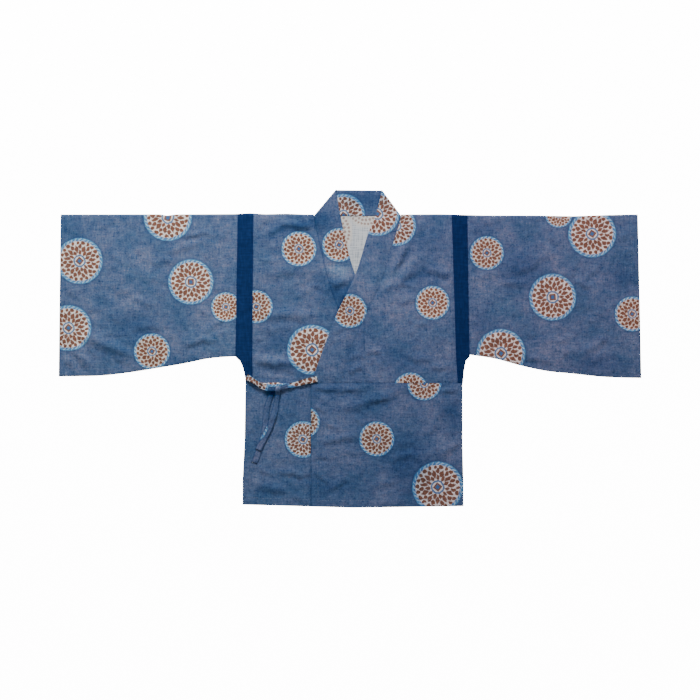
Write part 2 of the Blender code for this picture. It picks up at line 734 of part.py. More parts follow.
def main():
    for old in list(bpy.data.objects):
        bpy.data.objects.remove(old, do_unlink=True)
    for side in ("right", "left"):
        make_body(side)
        make_overlap(side)
        make_band(side)
        make_sleeve(side)
    make_peplum()
    make_collar()
    tape("tie_side", TIE_SIDE_ROUTE, tie_bed)
    tape("tie_front", TIE_FRONT_ROUTE, front_tie_bed)
    make_knot()
    tape("tie_tail_short", TAIL_SHORT_ROUTE, tie_bed)
    tape("tie_tail_long", TAIL_LONG_ROUTE, long_tail_bed)


main()
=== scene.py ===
# %% [markdown]
# A short wrap jacket of printed cloth lies flat on its back, fronts crossed and side tie knotted. The solid
# model gives every piece its place and its main form. This lesson dresses it: each cloth is cut flat in a
# fine grid, laid where its solid lies, creased, printed and sewn. We start with the frame, the packed model,
# which nothing here may move.

# %% The frame
import json
import math
from collections import namedtuple

import bmesh
import bpy
import numpy as np
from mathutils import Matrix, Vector

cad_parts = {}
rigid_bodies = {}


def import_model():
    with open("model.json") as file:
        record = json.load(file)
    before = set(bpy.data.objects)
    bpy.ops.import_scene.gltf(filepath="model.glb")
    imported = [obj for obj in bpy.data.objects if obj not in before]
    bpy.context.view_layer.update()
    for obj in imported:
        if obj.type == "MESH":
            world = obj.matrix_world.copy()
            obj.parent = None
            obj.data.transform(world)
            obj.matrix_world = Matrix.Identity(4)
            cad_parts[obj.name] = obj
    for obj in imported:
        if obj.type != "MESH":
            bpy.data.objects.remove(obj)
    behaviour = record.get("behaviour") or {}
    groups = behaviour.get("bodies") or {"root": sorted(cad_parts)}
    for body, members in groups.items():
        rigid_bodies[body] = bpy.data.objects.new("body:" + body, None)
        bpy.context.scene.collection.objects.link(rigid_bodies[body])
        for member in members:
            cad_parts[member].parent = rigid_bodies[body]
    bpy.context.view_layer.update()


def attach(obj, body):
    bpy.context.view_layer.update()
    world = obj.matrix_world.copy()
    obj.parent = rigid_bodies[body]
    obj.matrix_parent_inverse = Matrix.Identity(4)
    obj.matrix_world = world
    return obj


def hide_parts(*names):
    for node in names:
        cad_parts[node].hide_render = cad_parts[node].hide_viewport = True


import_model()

# %% [markdown]
# The jacket is measured as it lies: x runs from the centre back towards the wearer's left, y up from the
# shoulder fold. So "right" is the wearer's right, at -x, and its front lies underneath. The tables repeat
# the pattern that the solids were cut by, in metres. Every piece could be measured off its solid instead, but
# cloth that lies on cloth has to follow the same edges, and one table keeps them the same.

# %% The pattern's measures
CLOTH = 0.0010
COLLAR_CLOTH = 0.0020
LAYER_GAP = 0.0004
SEAM_GAP = 0.0003
SEAM_TUCK = 0.0010
INSET = -SEAM_TUCK
FRONT = CLOTH + LAYER_GAP
SHOULDER_TURN = CLOTH + LAYER_GAP / 2
COLLAR_TURN = COLLAR_CLOTH + SEAM_GAP / 2
CLIMB_MARGIN = 0.016
CLIMB = 0.024
NECK_CLIMB = (-0.045, -0.015)
HIDDEN_FROM = (-0.045, -0.010)
WAIST = -0.3864
COLLAR_FOOT = -0.3862
UNDERARM = -0.3250
SETTLE = 0.045
SWELL = 0.0005
SWELL_START = 0.8

Reach = namedtuple("Reach", "y right left")
Level = namedtuple("Level", "x y")
Spot = namedtuple("Spot", "x y")
SWELL_SLANT = Spot(0.300, 0.470)
SWELL_CROSS = Spot(0.900, 0.290)
BAND_SEAM = (
    Reach(0, 0.227, 0.2272), Reach(-0.322, 0.2293, 0.2369), Reach(WAIST, 0.2286, 0.241),
)
BAND_EDGE = (
    Reach(0, 0.2627, 0.2629), Reach(UNDERARM, 0.268, 0.268), Reach(-0.336, 0.2565, 0.2588),
    Reach(-0.348, 0.2512, 0.2563), Reach(-0.36, 0.2475, 0.2542), Reach(WAIST, 0.245, 0.2519),
)
PEPLUM_SIDE = (
    Reach(-0.37, 0.245, 0.2519), Reach(-0.52, 0.2473, 0.2519), Reach(-0.61, 0.2519, 0.2542),
    Reach(-0.675, 0.2519, 0.2542),
)
CUFF = (Reach(0.0000, 0.6682, 0.6532), Reach(-0.3750, 0.6728, 0.6613))
Depth = namedtuple("Depth", "along right left")
SLEEVE_DEPTH = (
    Depth(0, 0.325, 0.3215), Depth(0.15, 0.33, 0.3305), Depth(0.3, 0.3422, 0.3465),
    Depth(0.45, 0.3525, 0.359), Depth(0.6, 0.3622, 0.365), Depth(0.75, 0.3692, 0.3715),
    Depth(0.88, 0.3708, 0.3742), Depth(1, 0.3713, 0.375),
)
BACK_WAIST = (Level(-0.2520, -0.3726), Level(0.2540, WAIST))
UNDER_WAIST = (
    Level(-0.2520, -0.3726), Level(-0.0950, -0.3810), Level(0.0200, -0.3863), Level(0.1000, -0.3863),
)
OVER_WAIST = (Level(-0.1000, WAIST), Level(0.2540, WAIST))
HEM = (Level(-0.2520, -0.6647), Level(0.0000, -0.6716), Level(0.2540, -0.6682))
UNDER_FREE = (
    Spot(-0.0378, 0.0573), Spot(-0.0274, -0.0046), Spot(-0.0053, -0.1021), Spot(0.026, -0.19),
    Spot(0.066, -0.285), Spot(0.0985, -0.386),
)
UNDER_SEAM = (
    Spot(-0.088, -0.0023), Spot(-0.077, -0.0598), Spot(-0.0531, -0.1587), Spot(-0.022, -0.24),
    Spot(0.012, -0.33), Spot(0.027, -0.386),
)
OVER_FREE = (
    Spot(0.0674, 0.056), Spot(0.0529, -0.0023), Spot(0.0343, -0.0483), Spot(0.0069, -0.1369),
    Spot(-0.0391, -0.2351), Spot(-0.0828, -0.3526), Spot(-0.0934, COLLAR_FOOT),
)
OVER_SEAM = (
    Spot(0.1108, -0.0023), Spot(0.0886, -0.0782), Spot(0.0633, -0.1587), Spot(0.0327, -0.2231),
    Spot(0.0009, -0.2944), Spot(-0.0191, -0.3526), Spot(-0.0254, COLLAR_FOOT),
)
NECKLINE_DROP = 0.0041
NECK_CLEARANCE = 0.0007
OVERLAP_SEAM = 0.0265
PEPLUM_UNDER_EDGE = 0.0985
PEPLUM_OVER_EDGE = -0.0955
ORIGIN = Spot((CUFF[1].left - CUFF[1].right) / 2, (UNDER_FREE[0].y + HEM[1].y) / 2)
print("the jacket's own zero is at", [round(-part, 4) for part in ORIGIN], "in the frame")

# %% [markdown]
# Helpers read those tables. They could go point by point, but a garment in 4 mm cells has over a hundred
# thousand of them, so each helper takes whole arrays and numpy works them out at once.

# %% Reading the tables
def eased(value):
    """0 below 0, 1 above 1, eased between."""
    held = np.clip(value, 0.0, 1.0)
    return held * held * (3 - 2 * held)


def bell(distance, breadth):
    """1 at no distance, dying out over the breadth."""
    return np.exp(-((distance / breadth) ** 2))


def by_side(table, x, place, column):
    """A column that both sides have, read on the side where x is."""
    rows = [-getattr(row, column) if column == "y" else getattr(row, column) for row in table]
    right = np.interp(place, rows, [row.right for row in table])
    left = np.interp(place, rows, [row.left for row in table])
    return np.where(np.asarray(x) < 0, right, left)


def reach(table, x, y):
    """Distance from the centre back of an edge that both sides have."""
    return by_side(table, x, -np.asarray(y), "y")


def level(table, x):
    """Height on the jacket of a waist seam or hem."""
    return np.interp(x, [spot.x for spot in table], [spot.y for spot in table])


CURVE_STEPS = 24
COLLAR_ROW = 0.005
EDGE_ROW = 0.002


def smooth(points, spacing):
    """Points about spacing apart along a Catmull-Rom curve through the given ones."""
    known = np.array([(p[0], p[1]) for p in points])
    known = np.vstack([2 * known[0] - known[1], known, 2 * known[-1] - known[-2]])
    fine = []
    for before, start, end, after in zip(known, known[1:], known[2:], known[3:]):
        for t in np.linspace(0, 1, CURVE_STEPS, endpoint=False):
            pull = (end - before) * t + (2 * before - 5 * start + 4 * end - after) * t**2
            pull = pull + (3 * start - before - 3 * end + after) * t**3
            fine.append(start + pull / 2)
    fine = np.array(fine + [known[-2]])
    run = np.concatenate([[0], np.cumsum(np.linalg.norm(np.diff(fine, axis=0), axis=1))])
    at = np.linspace(0, run[-1], max(2, round(run[-1] / spacing) + 1))
    return np.column_stack([np.interp(at, run, fine[:, 0]), np.interp(at, run, fine[:, 1])])


def paired(free, seam):
    """The collar's two edges with the same number of rows."""
    rows = len(smooth(free, COLLAR_ROW))
    edges = []
    for points in (free, seam):
        fine = smooth(points, EDGE_ROW)
        at = np.linspace(0, len(fine) - 1, rows)
        steps = np.arange(len(fine))
        edges.append(np.column_stack([np.interp(at, steps, fine[:, 0]), np.interp(at, steps, fine[:, 1])]))
    return edges


UNDER_EDGES = paired(UNDER_FREE, UNDER_SEAM)
OVER_EDGES = paired(OVER_FREE, OVER_SEAM)


def edge_x(edge, y):
    """x of a collar edge at y."""
    return np.interp(-np.asarray(y), -edge[:, 1], edge[:, 0])


print("collar rows:", len(UNDER_EDGES[0]), "under,", len(OVER_EDGES[0]), "over")

# %% [markdown]
# The cloth isn't flat. A broad swell and the largest folds are in the solids too, so this table is theirs:
# each fold is a soft ridge of its own length, breadth and height, set where the photograph shows it. They are
# listed one by one, because a random field makes cloth look like water.

# %% The largest folds
Fold = namedtuple("Fold", "x y run_x run_y breadth rise")
FOLDS = (
    Fold(-0.132, -0.024, 0.039, 0.008, 0.011, 0.0022), Fold(-0.144, -0.12, 0.057, 0, 0.012, 0.0014),
    Fold(-0.155, -0.228, 0.05, -0.002, 0.012, 0.0014), Fold(-0.174, -0.336, 0.05, -0.005, 0.012, 0.002),
    Fold(0.109, -0.097, 0.016, 0.033, 0.011, 0.0018), Fold(0.142, -0.11, 0.021, 0.021, 0.011, 0.0014),
    Fold(0.036, -0.426, 0.055, 0.015, 0.012, 0.0022), Fold(-0.029, -0.511, 0.037, 0.005, 0.012, 0.0014),
    Fold(-0.174, -0.626, 0.024, -0.008, 0.011, 0.0014), Fold(-0.558, -0.301, 0.058, -0.025, 0.014, 0.0028),
    Fold(-0.618, -0.327, 0.021, -0.024, 0.012, 0.0022), Fold(-0.351, -0.281, 0.046, 0.009, 0.014, 0.0018),
    Fold(-0.51, -0.22, 0.05, 0.014, 0.018, 0.0014), Fold(0.385, -0.108, 0.037, 0.018, 0.018, 0.0014),
    Fold(0.5, -0.31, 0.07, -0.012, 0.018, 0.0014), Fold(0.57, -0.195, 0.012, -0.046, 0.016, 0.0012),
    Fold(0.205, -0.437, 0.008, -0.032, 0.014, 0.0014), Fold(0.178, -0.545, 0.04, 0.016, 0.015, 0.0014),
)


def ridge(fold, x, y):
    """A fold's height along its crest at the points x, y, and their distance from the crest in breadths."""
    run = math.hypot(fold.run_x, fold.run_y)
    along = ((x - fold.x) * fold.run_x + (y - fold.y) * fold.run_y) / run
    across = ((x - fold.x) * fold.run_y - (y - fold.y) * fold.run_x) / run / fold.breadth
    return fold.rise * np.exp(-((along / run) ** 4)), across


def settle(x, y):
    """0 where the cloth is held down by a folded or sewn edge, 1 away from those edges."""
    across = np.abs(x)
    held = eased(-y / SETTLE)
    armhole = reach(BAND_EDGE, x, np.maximum(y, UNDERARM))
    cuff = reach(CUFF, x, y)
    along = np.clip((across - armhole) / (cuff - armhole), 0, 1)
    sleeve = eased((y + by_side(SLEEVE_DEPTH, x, along, "along")) / SETTLE)
    beside_sleeve = eased((across - BAND_SEAM[0].right) / (BAND_EDGE[0].right - BAND_SEAM[0].right))
    upper = held * (1 - (1 - sleeve) * beside_sleeve)
    lower = held * eased((reach(PEPLUM_SIDE, x, y) - across) / SETTLE)
    return np.where(y < level(BACK_WAIST, x), lower, upper)


def loft(x, y, covered=False):
    """How far the upper layer stands off the lower one. A covered layer has only the broad swell."""
    slant = np.sin(math.tau * (x / SWELL_SLANT.x + y / SWELL_SLANT.y) + SWELL_START)
    cross = np.cos(math.tau * (y / SWELL_CROSS.y - x / SWELL_CROSS.x))
    height = SWELL * (1 + slant * cross)
    if not covered:
        for fold in FOLDS:
            rise, across = ridge(fold, x, y)
            height = height + rise * bell(across, 1.0)
    return height * settle(x, y)


def under_base(x, y):
    """Underside of the right front, which hides under the left one near the middle."""
    over = np.where(y > COLLAR_FOOT, edge_x(OVER_EDGES[0], y), PEPLUM_OVER_EDGE)
    hidden = eased((x - over - HIDDEN_FROM[0]) / (HIDDEN_FROM[1] - HIDDEN_FROM[0]))
    return FRONT + loft(x, y) * (1 - hidden) + loft(x, y, covered=True) * hidden


def over_climb(x, y):
    """How far the left front is lifted by what lies under it: cloth, or the collar's double cloth."""
    free = np.where(y > WAIST, edge_x(UNDER_EDGES[0], y), PEPLUM_UNDER_EDGE)
    seam = edge_x(UNDER_EDGES[1], y)
    reach_out = CLIMB_MARGIN + CLIMB
    on_cloth = eased((free + reach_out - x) / CLIMB)
    on_collar = on_cloth * eased((x - seam + reach_out) / CLIMB) * eased((y - WAIST + reach_out) / CLIMB)
    return (CLOTH + LAYER_GAP) * on_cloth + (COLLAR_CLOTH - CLOTH) * on_collar


def over_base(x, y):
    """Underside of the left front."""
    return FRONT + loft(x, y) + over_climb(x, y)


def neck_climb(y):
    """How far the collar's fronts stand on its back-neck stretch."""
    return (COLLAR_CLOTH + SEAM_GAP - FRONT) * eased((y - NECK_CLIMB[0]) / (NECK_CLIMB[1] - NECK_CLIMB[0]))


print("folds shared with the solids:", len(FOLDS))

# %% [markdown]
# Ironed cotton and linen also keeps small sharp creases. The main ones are listed in a second table,
# each with a trough along one side that the light from the neck leaves dark. Between them lie seeded small
# wrinkles, mostly across the body, as where the cloth was folded and pressed. Their lines are bent a little,
# because a crease drawn straight reads as a ruler mark.

# %% Finer creases
CREASES = (
    Fold(-0.176, -0.031, 0.02, 0.01, 0.007, 0.0009), Fold(-0.128, -0.025, 0.034, -0.003, 0.0075, 0.0011),
    Fold(-0.212, -0.022, 0.016, 0.014, 0.007, 0.0006), Fold(-0.187, -0.104, 0.026, 0.002, 0.006, 0.0006),
    Fold(-0.142, -0.134, 0.06, 0.003, 0.0095, 0.0007), Fold(-0.11, -0.15, 0.026, 0.004, 0.0065, 0.0006),
    Fold(-0.142, -0.23, 0.064, -0.001, 0.01, 0.0008), Fold(-0.178, -0.262, 0.03, 0.004, 0.008, 0.0005),
    Fold(-0.178, -0.34, 0.046, -0.005, 0.0095, 0.0012), Fold(-0.15, -0.358, 0.03, -0.006, 0.006, 0.0007),
    Fold(0.107, -0.106, 0.016, 0.032, 0.006, 0.0012), Fold(0.122, -0.144, 0.032, 0.028, 0.0085, 0.001),
    Fold(0.197, -0.132, 0.028, -0.006, 0.008, 0.0009), Fold(0.09, -0.156, 0.018, 0.016, 0.0055, 0.0008),
    Fold(0.124, -0.163, 0.016, -0.002, 0.006, 0.0006), Fold(0.063, -0.338, 0.001, -0.03, 0.006, 0.0009),
    Fold(0.151, -0.329, 0.023, -0.005, 0.0075, 0.0008), Fold(0.196, -0.35, 0.014, 0.006, 0.007, 0.0008),
    Fold(0.128, -0.196, 0.02, 0.009, 0.008, 0.0007), Fold(-0.06, -0.399, 0.03, 0.002, 0.006, 0.0011),
    Fold(-0.01, -0.402, 0.026, 0.005, 0.006, 0.0011), Fold(0.026, -0.435, 0.05, 0.014, 0.008, 0.0004),
    Fold(0.066, -0.422, 0.026, 0.008, 0.006, 0.0007), Fold(-0.071, -0.447, 0.01, -0.004, 0.005, 0.0007),
    Fold(-0.029, -0.513, 0.04, 0.006, 0.007, 0.0006), Fold(-0.05, -0.482, 0.02, -0.009, 0.006, 0.0007),
    Fold(-0.006, -0.545, 0.022, 0.004, 0.006, 0.0005), Fold(0.014, -0.47, 0.012, -0.008, 0.006, 0.0005),
    Fold(0.222, -0.402, 0.016, -0.001, 0.006, 0.0009), Fold(0.19, -0.476, 0.006, 0.024, 0.007, 0.0007),
    Fold(0.222, -0.536, 0.022, 0.013, 0.0075, 0.0009), Fold(0.122, -0.552, 0.03, 0.006, 0.008, 0.0008),
    Fold(-0.128, -0.594, 0.036, -0.001, 0.006, 0.0009), Fold(-0.198, -0.59, 0.016, -0.004, 0.005, 0.0007),
    Fold(-0.186, -0.628, 0.034, -0.007, 0.007, 0.0006), Fold(-0.036, -0.618, 0.02, 0.012, 0.007, 0.001),
    Fold(-0.07, -0.602, 0.014, -0.01, 0.006, 0.0008), Fold(0.066, -0.616, 0.028, 0.01, 0.008, 0.0006),
    Fold(-0.553, -0.303, 0.054, -0.023, 0.011, 0.0006), Fold(-0.604, -0.3, 0.012, -0.02, 0.006, 0.0006),
    Fold(-0.618, -0.336, 0.018, -0.021, 0.0075, 0.0007), Fold(-0.65, -0.336, 0.014, -0.006, 0.006, 0.0007),
    Fold(-0.524, -0.336, 0.02, -0.006, 0.006, 0.0007), Fold(-0.432, -0.103, 0.018, -0.004, 0.008, 0.0008),
    Fold(-0.408, -0.084, 0.016, 0.001, 0.008, 0.0006), Fold(-0.35, -0.046, 0.034, 0.002, 0.006, 0.0009),
    Fold(-0.372, -0.07, 0.03, 0.008, 0.007, 0.0006), Fold(-0.35, -0.292, 0.036, 0.007, 0.0065, 0.001),
    Fold(-0.318, -0.252, 0.026, 0.018, 0.007, 0.0008), Fold(-0.336, -0.226, 0.014, -0.008, 0.006, 0.0007),
    Fold(-0.472, -0.256, 0.034, 0.004, 0.009, 0.0007), Fold(-0.53, -0.16, 0.006, 0.024, 0.007, 0.0005),
    Fold(-0.64, -0.18, 0.01, -0.012, 0.007, 0.0007), Fold(0.366, -0.158, 0.023, -0.007, 0.008, 0.0008),
    Fold(0.4, -0.122, 0.024, 0.014, 0.008, 0.0008), Fold(0.506, -0.13, 0.004, 0.016, 0.006, 0.0007),
    Fold(0.526, -0.158, 0.014, -0.004, 0.006, 0.0007), Fold(0.42, -0.33, 0.044, -0.014, 0.0075, 0.0008),
    Fold(0.556, -0.3, 0.026, 0.012, 0.008, 0.0008), Fold(0.6, -0.262, 0.01, -0.026, 0.008, 0.0006),
    Fold(0.33, -0.286, 0.02, 0.01, 0.008, 0.0006), Fold(-0.036, -0.103, 0.022, 0.002, 0.006, 0.0009),
    Fold(-0.032, -0.158, 0.024, 0.004, 0.008, 0.0016), Fold(0.01, -0.276, 0.008, 0.026, 0.005, 0.0008),
    Fold(-0.006, -0.328, 0.016, 0.008, 0.005, 0.0007), Fold(0.01, -0.352, 0.02, 0.01, 0.006, 0.0009),
    Fold(0.036, -0.318, 0.028, 0.006, 0.006, 0.0008), Fold(-0.026, -0.262, 0.02, 0.004, 0.006, 0.0006),
)
SMALL_WRINKLES = 320
WRINKLE_SEED = 11
WRINKLE_X = (-0.67, 0.66)
BODY_HALF = 0.25
BODY_Y = (-0.66, -0.01)
SLEEVE_Y = (-0.365, -0.01)
WRINKLE_TILT = 0.45
UPRIGHT_SHARE = 0.25
WRINKLE_RUN = (0.010, 0.034)
WRINKLE_RISE = (0.00012, 0.00042)
WRINKLE_BREADTH = (0.0050, 0.0095)
Profile = namedtuple("Profile", "gain trough aside")
CREASE_PROFILE = Profile(1.9, 0.55, 1.6)
WRINKLE_PROFILE = Profile(1.7, 0.7, 1.5)
Wave = namedtuple("Wave", "size length start")
BENDS_IN_X = (Wave(0.0022, 0.0120, 1.0), Wave(0.0016, 0.0051, 0.0))
BENDS_IN_Y = (Wave(0.0022, 0.0105, 0.0), Wave(0.0014, 0.0047, 2.0))


def small_wrinkles():
    """Seeded rows for the wrinkles that no one would draw by hand."""
    draw = np.random.default_rng(WRINKLE_SEED)
    rows = []
    for _ in range(SMALL_WRINKLES):
        x = draw.uniform(*WRINKLE_X)
        y = draw.uniform(*(BODY_Y if abs(x) < BODY_HALF else SLEEVE_Y))
        turn = draw.normal(0.0, WRINKLE_TILT) + (math.pi / 2 if draw.random() < UPRIGHT_SHARE else 0.0)
        run = draw.uniform(*WRINKLE_RUN)
        rise = draw.uniform(*WRINKLE_RISE)
        breadth = draw.uniform(*WRINKLE_BREADTH)
        rows.append(Fold(x, y, run * math.cos(turn), run * math.sin(turn), breadth, rise))
    return rows


WRINKLES = small_wrinkles()


def bent(waves, place):
    """How far a crease's line strays to the side at this place along it."""
    return sum(wave.size * np.sin(place / wave.length + wave.start) for wave in waves)


def relief(x, y):
    """The finer creases' height over the solids' cloth."""
    bent_x, bent_y = x + bent(BENDS_IN_X, y), y + bent(BENDS_IN_Y, x)
    height = np.zeros_like(x)
    for rows, profile in ((CREASES, CREASE_PROFILE), (WRINKLES, WRINKLE_PROFILE)):
        for row in rows:
            rise, across = ridge(row, bent_x, bent_y)
            trough = profile.trough * bell(across - profile.aside, 1.0)
            height += profile.gain * rise * (bell(across, 1.0) - trough)
    return height


print("creases:", len(CREASES), "small wrinkles:", len(WRINKLES))

# %% [markdown]
# A maker first cuts each piece flat. So do we: its outline becomes one flat face, which `bisect_plane` cuts
# along columns and rows into cells. Two narrow rings along the edge then give every hem and seam a rounded
# rim, which a bare grid can't have. Each stretch of outline says what kind of edge it is, because a hem, a
# seam and a side seam are shaped differently later.

# %% Cutting a piece flat
EDGE = 0.0022
RING = (0.68, 1.0)
SNAP = 0.0007
FRONT_CELL = 0.0042
BACK_CELL = 0.0100
Stretch = namedtuple("Stretch", "edge points")
Cut = namedtuple("Cut", "points faces last_ring outline kinds")


def outward(loop):
    """For each point of a loop that runs counterclockwise, the step that moves both its edges out by 1."""
    ahead = np.roll(loop, -1, axis=0) - loop
    ahead /= np.linalg.norm(ahead, axis=1)[:, None]
    after = np.column_stack([ahead[:, 1], -ahead[:, 0]])
    before = np.roll(after, 1, axis=0)
    both = after + before
    return both / (1 + (after * before).sum(axis=1))[:, None]


def flat_area(loop):
    """Area inside a loop, below 0 where it runs clockwise."""
    ahead = np.roll(loop, -1, axis=0)
    return float((loop[:, 0] * ahead[:, 1] - loop[:, 1] * ahead[:, 0]).sum() / 2)


def cut(stretches, columns, rows):
    """Cut a piece along columns and rows. Its points lie on the sheet, where v is below 0 in front."""
    outline = np.array([spot for stretch in stretches for spot in stretch.points], float)
    kinds = [stretch.edge for stretch in stretches for _ in stretch.points]
    if flat_area(outline) < 0:
        outline = outline[::-1]
        kinds = kinds[-2::-1] + kinds[-1:]
    flat = bmesh.new()
    flat.faces.new([flat.verts.new((x, v, 0)) for x, v in outline - outward(outline) * EDGE])
    for axis, places in (((1, 0, 0), columns), ((0, 1, 0), rows)):
        for place in places:
            whole = flat.verts[:] + flat.edges[:] + flat.faces[:]
            at = [part * place for part in axis]
            bmesh.ops.bisect_plane(flat, geom=whole, dist=SNAP, plane_co=at, plane_no=axis)
    flat.verts.index_update()
    points = [np.array([vertex.co[:2] for vertex in flat.verts])]
    faces = [[vertex.index for vertex in face.verts] for face in flat.faces]
    step = {}
    for edge in flat.edges:
        if edge.is_boundary:
            loop = edge.link_loops[0]
            step[loop.vert.index] = loop.link_loop_next.vert.index
    flat.free()
    rim = [min(step)]
    while step[rim[-1]] != rim[0]:
        rim.append(step[rim[-1]])
    loop = points[0][rim]
    away = outward(loop)
    inside, count = rim, len(points[0])
    for share in RING:
        points.append(loop + away * EDGE * share)
        ring = list(range(count, count + len(loop)))
        count += len(loop)
        for i in range(len(loop)):
            j = (i + 1) % len(loop)
            faces.append([inside[i], ring[i], ring[j], inside[j]])
        inside = ring
    return Cut(np.vstack(points), faces, inside, outline, kinds)


def far_from(piece, *edges):
    """Distance of every point of a cut piece to the nearest edge of the given kinds."""
    chosen = [i for i, kind in enumerate(piece.kinds) if not edges or kind in edges]
    if not chosen:
        return np.full(len(piece.points), 1.0)
    starts = piece.outline[chosen]
    along = np.roll(piece.outline, -1, axis=0)[chosen] - starts
    away = piece.points[:, None] - starts
    share = np.clip((away * along).sum(-1) / (along**2).sum(-1), 0, 1)
    return np.linalg.norm(away - share[..., None] * along, axis=-1).min(axis=1)


def lines(low, high, cell):
    """Evenly spaced cuts between two edges, about a cell apart."""
    count = max(2, round((high - low) / cell) + 1)
    return list(np.linspace(low, high, count)[1:-1])


def turn_lines():
    """Cuts along the shoulder fold, so that the cloth rolls over it."""
    return [SHOULDER_TURN * step for step in (-1, -0.5, 0, 0.5, 1)]


sample = cut([Stretch("hem", [(0, 0), (0.1, 0), (0.1, 0.1), (0, 0.1)])], [0.05], [0.05])
print("a 10 cm square cut in four has", len(sample.points), "points and", len(sample.faces), "faces")

# %% [markdown]
# Then the piece is laid. Its sheet runs over the shoulder fold: v is y on the front, and -y on the back, so a
# print or a weave passes over the fold unbroken, as on the real bolt. Cloth dips into its seams, and puckers
# beside them where the thread is tight. A hem is double, so it stands a little prouder. At a side seam the
# front and the back bow towards each other until they meet.

# %% Laying a piece on its solid's place
SHELL = 0.0007
JOINT = 0.00025
BOW = 0.0045
SEAM_DIP = 0.00030
SEAM_BREADTH = 0.0026
PUCKER = 0.00030
PUCKER_BREADTH = 0.0100
HEM_WIDTH = 0.0200
HEM_RISE = 0.00045
HEM_EDGE = 0.0040
FOLD_HOLD = 0.012
PUCKER_SLANT = 0.8
PUCKER_LENGTH = 0.0031
PUCKER_SWAY = 2.5
PUCKER_SWAY_SPAN = Spot(0.021, 0.013)
SHOULDER_WAVE = (
    Level(-0.66, 0), Level(-0.44, 0.0004), Level(-0.425, -0.0026), Level(-0.405, 0.0002),
    Level(-0.27, 0.001), Level(-0.235, 0.003), Level(-0.2, 0.0006), Level(-0.15, 0.0018), Level(-0.11, 0),
    Level(0.12, 0), Level(0.2, 0.0006), Level(0.3, -0.0022), Level(0.42, -0.0024), Level(0.505, -0.004),
    Level(0.58, -0.0014), Level(0.64, 0),
)
WAVE_REACH = 0.060


def rounded(share):
    """A quarter circle from 0 at the edge to 1."""
    return np.sqrt(1 - (1 - np.clip(share, 0, 1)) ** 2)


def puckering(x, v, from_seam):
    """The small ripples beside a seam, where its thread is tight."""
    sway = PUCKER_SWAY * np.sin(x / PUCKER_SWAY_SPAN.x + v / PUCKER_SWAY_SPAN.y)
    return PUCKER * np.sin((x + PUCKER_SLANT * v) / PUCKER_LENGTH + sway) * bell(from_seam, PUCKER_BREADTH)


def lay(piece, base):
    """Outer and inner points of a cut piece, whose front follows base(x, y) and whose back lies flat."""
    x, v = piece.points.T
    from_edge = far_from(piece)
    seam, hem, side = (far_from(piece, edge) for edge in ("seam", "hem", "side"))
    bow = rounded(side / BOW)
    double = HEM_RISE * eased((HEM_WIDTH + HEM_EDGE / 2 - hem) / HEM_EDGE)
    y = -np.abs(v)
    fine = relief(x, y) * eased(from_edge / FOLD_HOLD) + puckering(x, v, np.minimum(seam, side)) + double
    fine = (fine - SEAM_DIP * bell(seam, SEAM_BREADTH)) * eased(-(y + SHOULDER_TURN) / FOLD_HOLD)
    half = SHELL / 2 * rounded(from_edge / EDGE)
    top = base(x, y) + CLOTH - SHELL / 2 + fine
    front_middle = SHOULDER_TURN + JOINT + (top - SHOULDER_TURN - JOINT) * bow
    back_middle = SHOULDER_TURN - JOINT + (SHELL / 2 - SHOULDER_TURN + JOINT) * bow
    angle = -v / SHOULDER_TURN * math.pi / 2
    turning = np.abs(v) < SHOULDER_TURN
    waved = level(SHOULDER_WAVE, x) * (1 - eased(np.abs(v) / WAVE_REACH))
    laid = []
    for out in (1, -1):
        radius = SHOULDER_TURN - SHELL / 2 + out * half
        rolled_y = -SHOULDER_TURN + radius * np.cos(angle)
        rolled_z = SHOULDER_TURN + radius * np.sin(angle)
        z = np.where(v < 0, front_middle + out * half, back_middle - out * half)
        flat_y = np.where(turning, rolled_y, y) + waved
        laid.append(np.column_stack([x, flat_y, np.where(turning, rolled_z, z)]))
    return laid


print("cloth:", SHELL, "thick, a hem", HEM_RISE, "prouder, puckers up to", PUCKER)
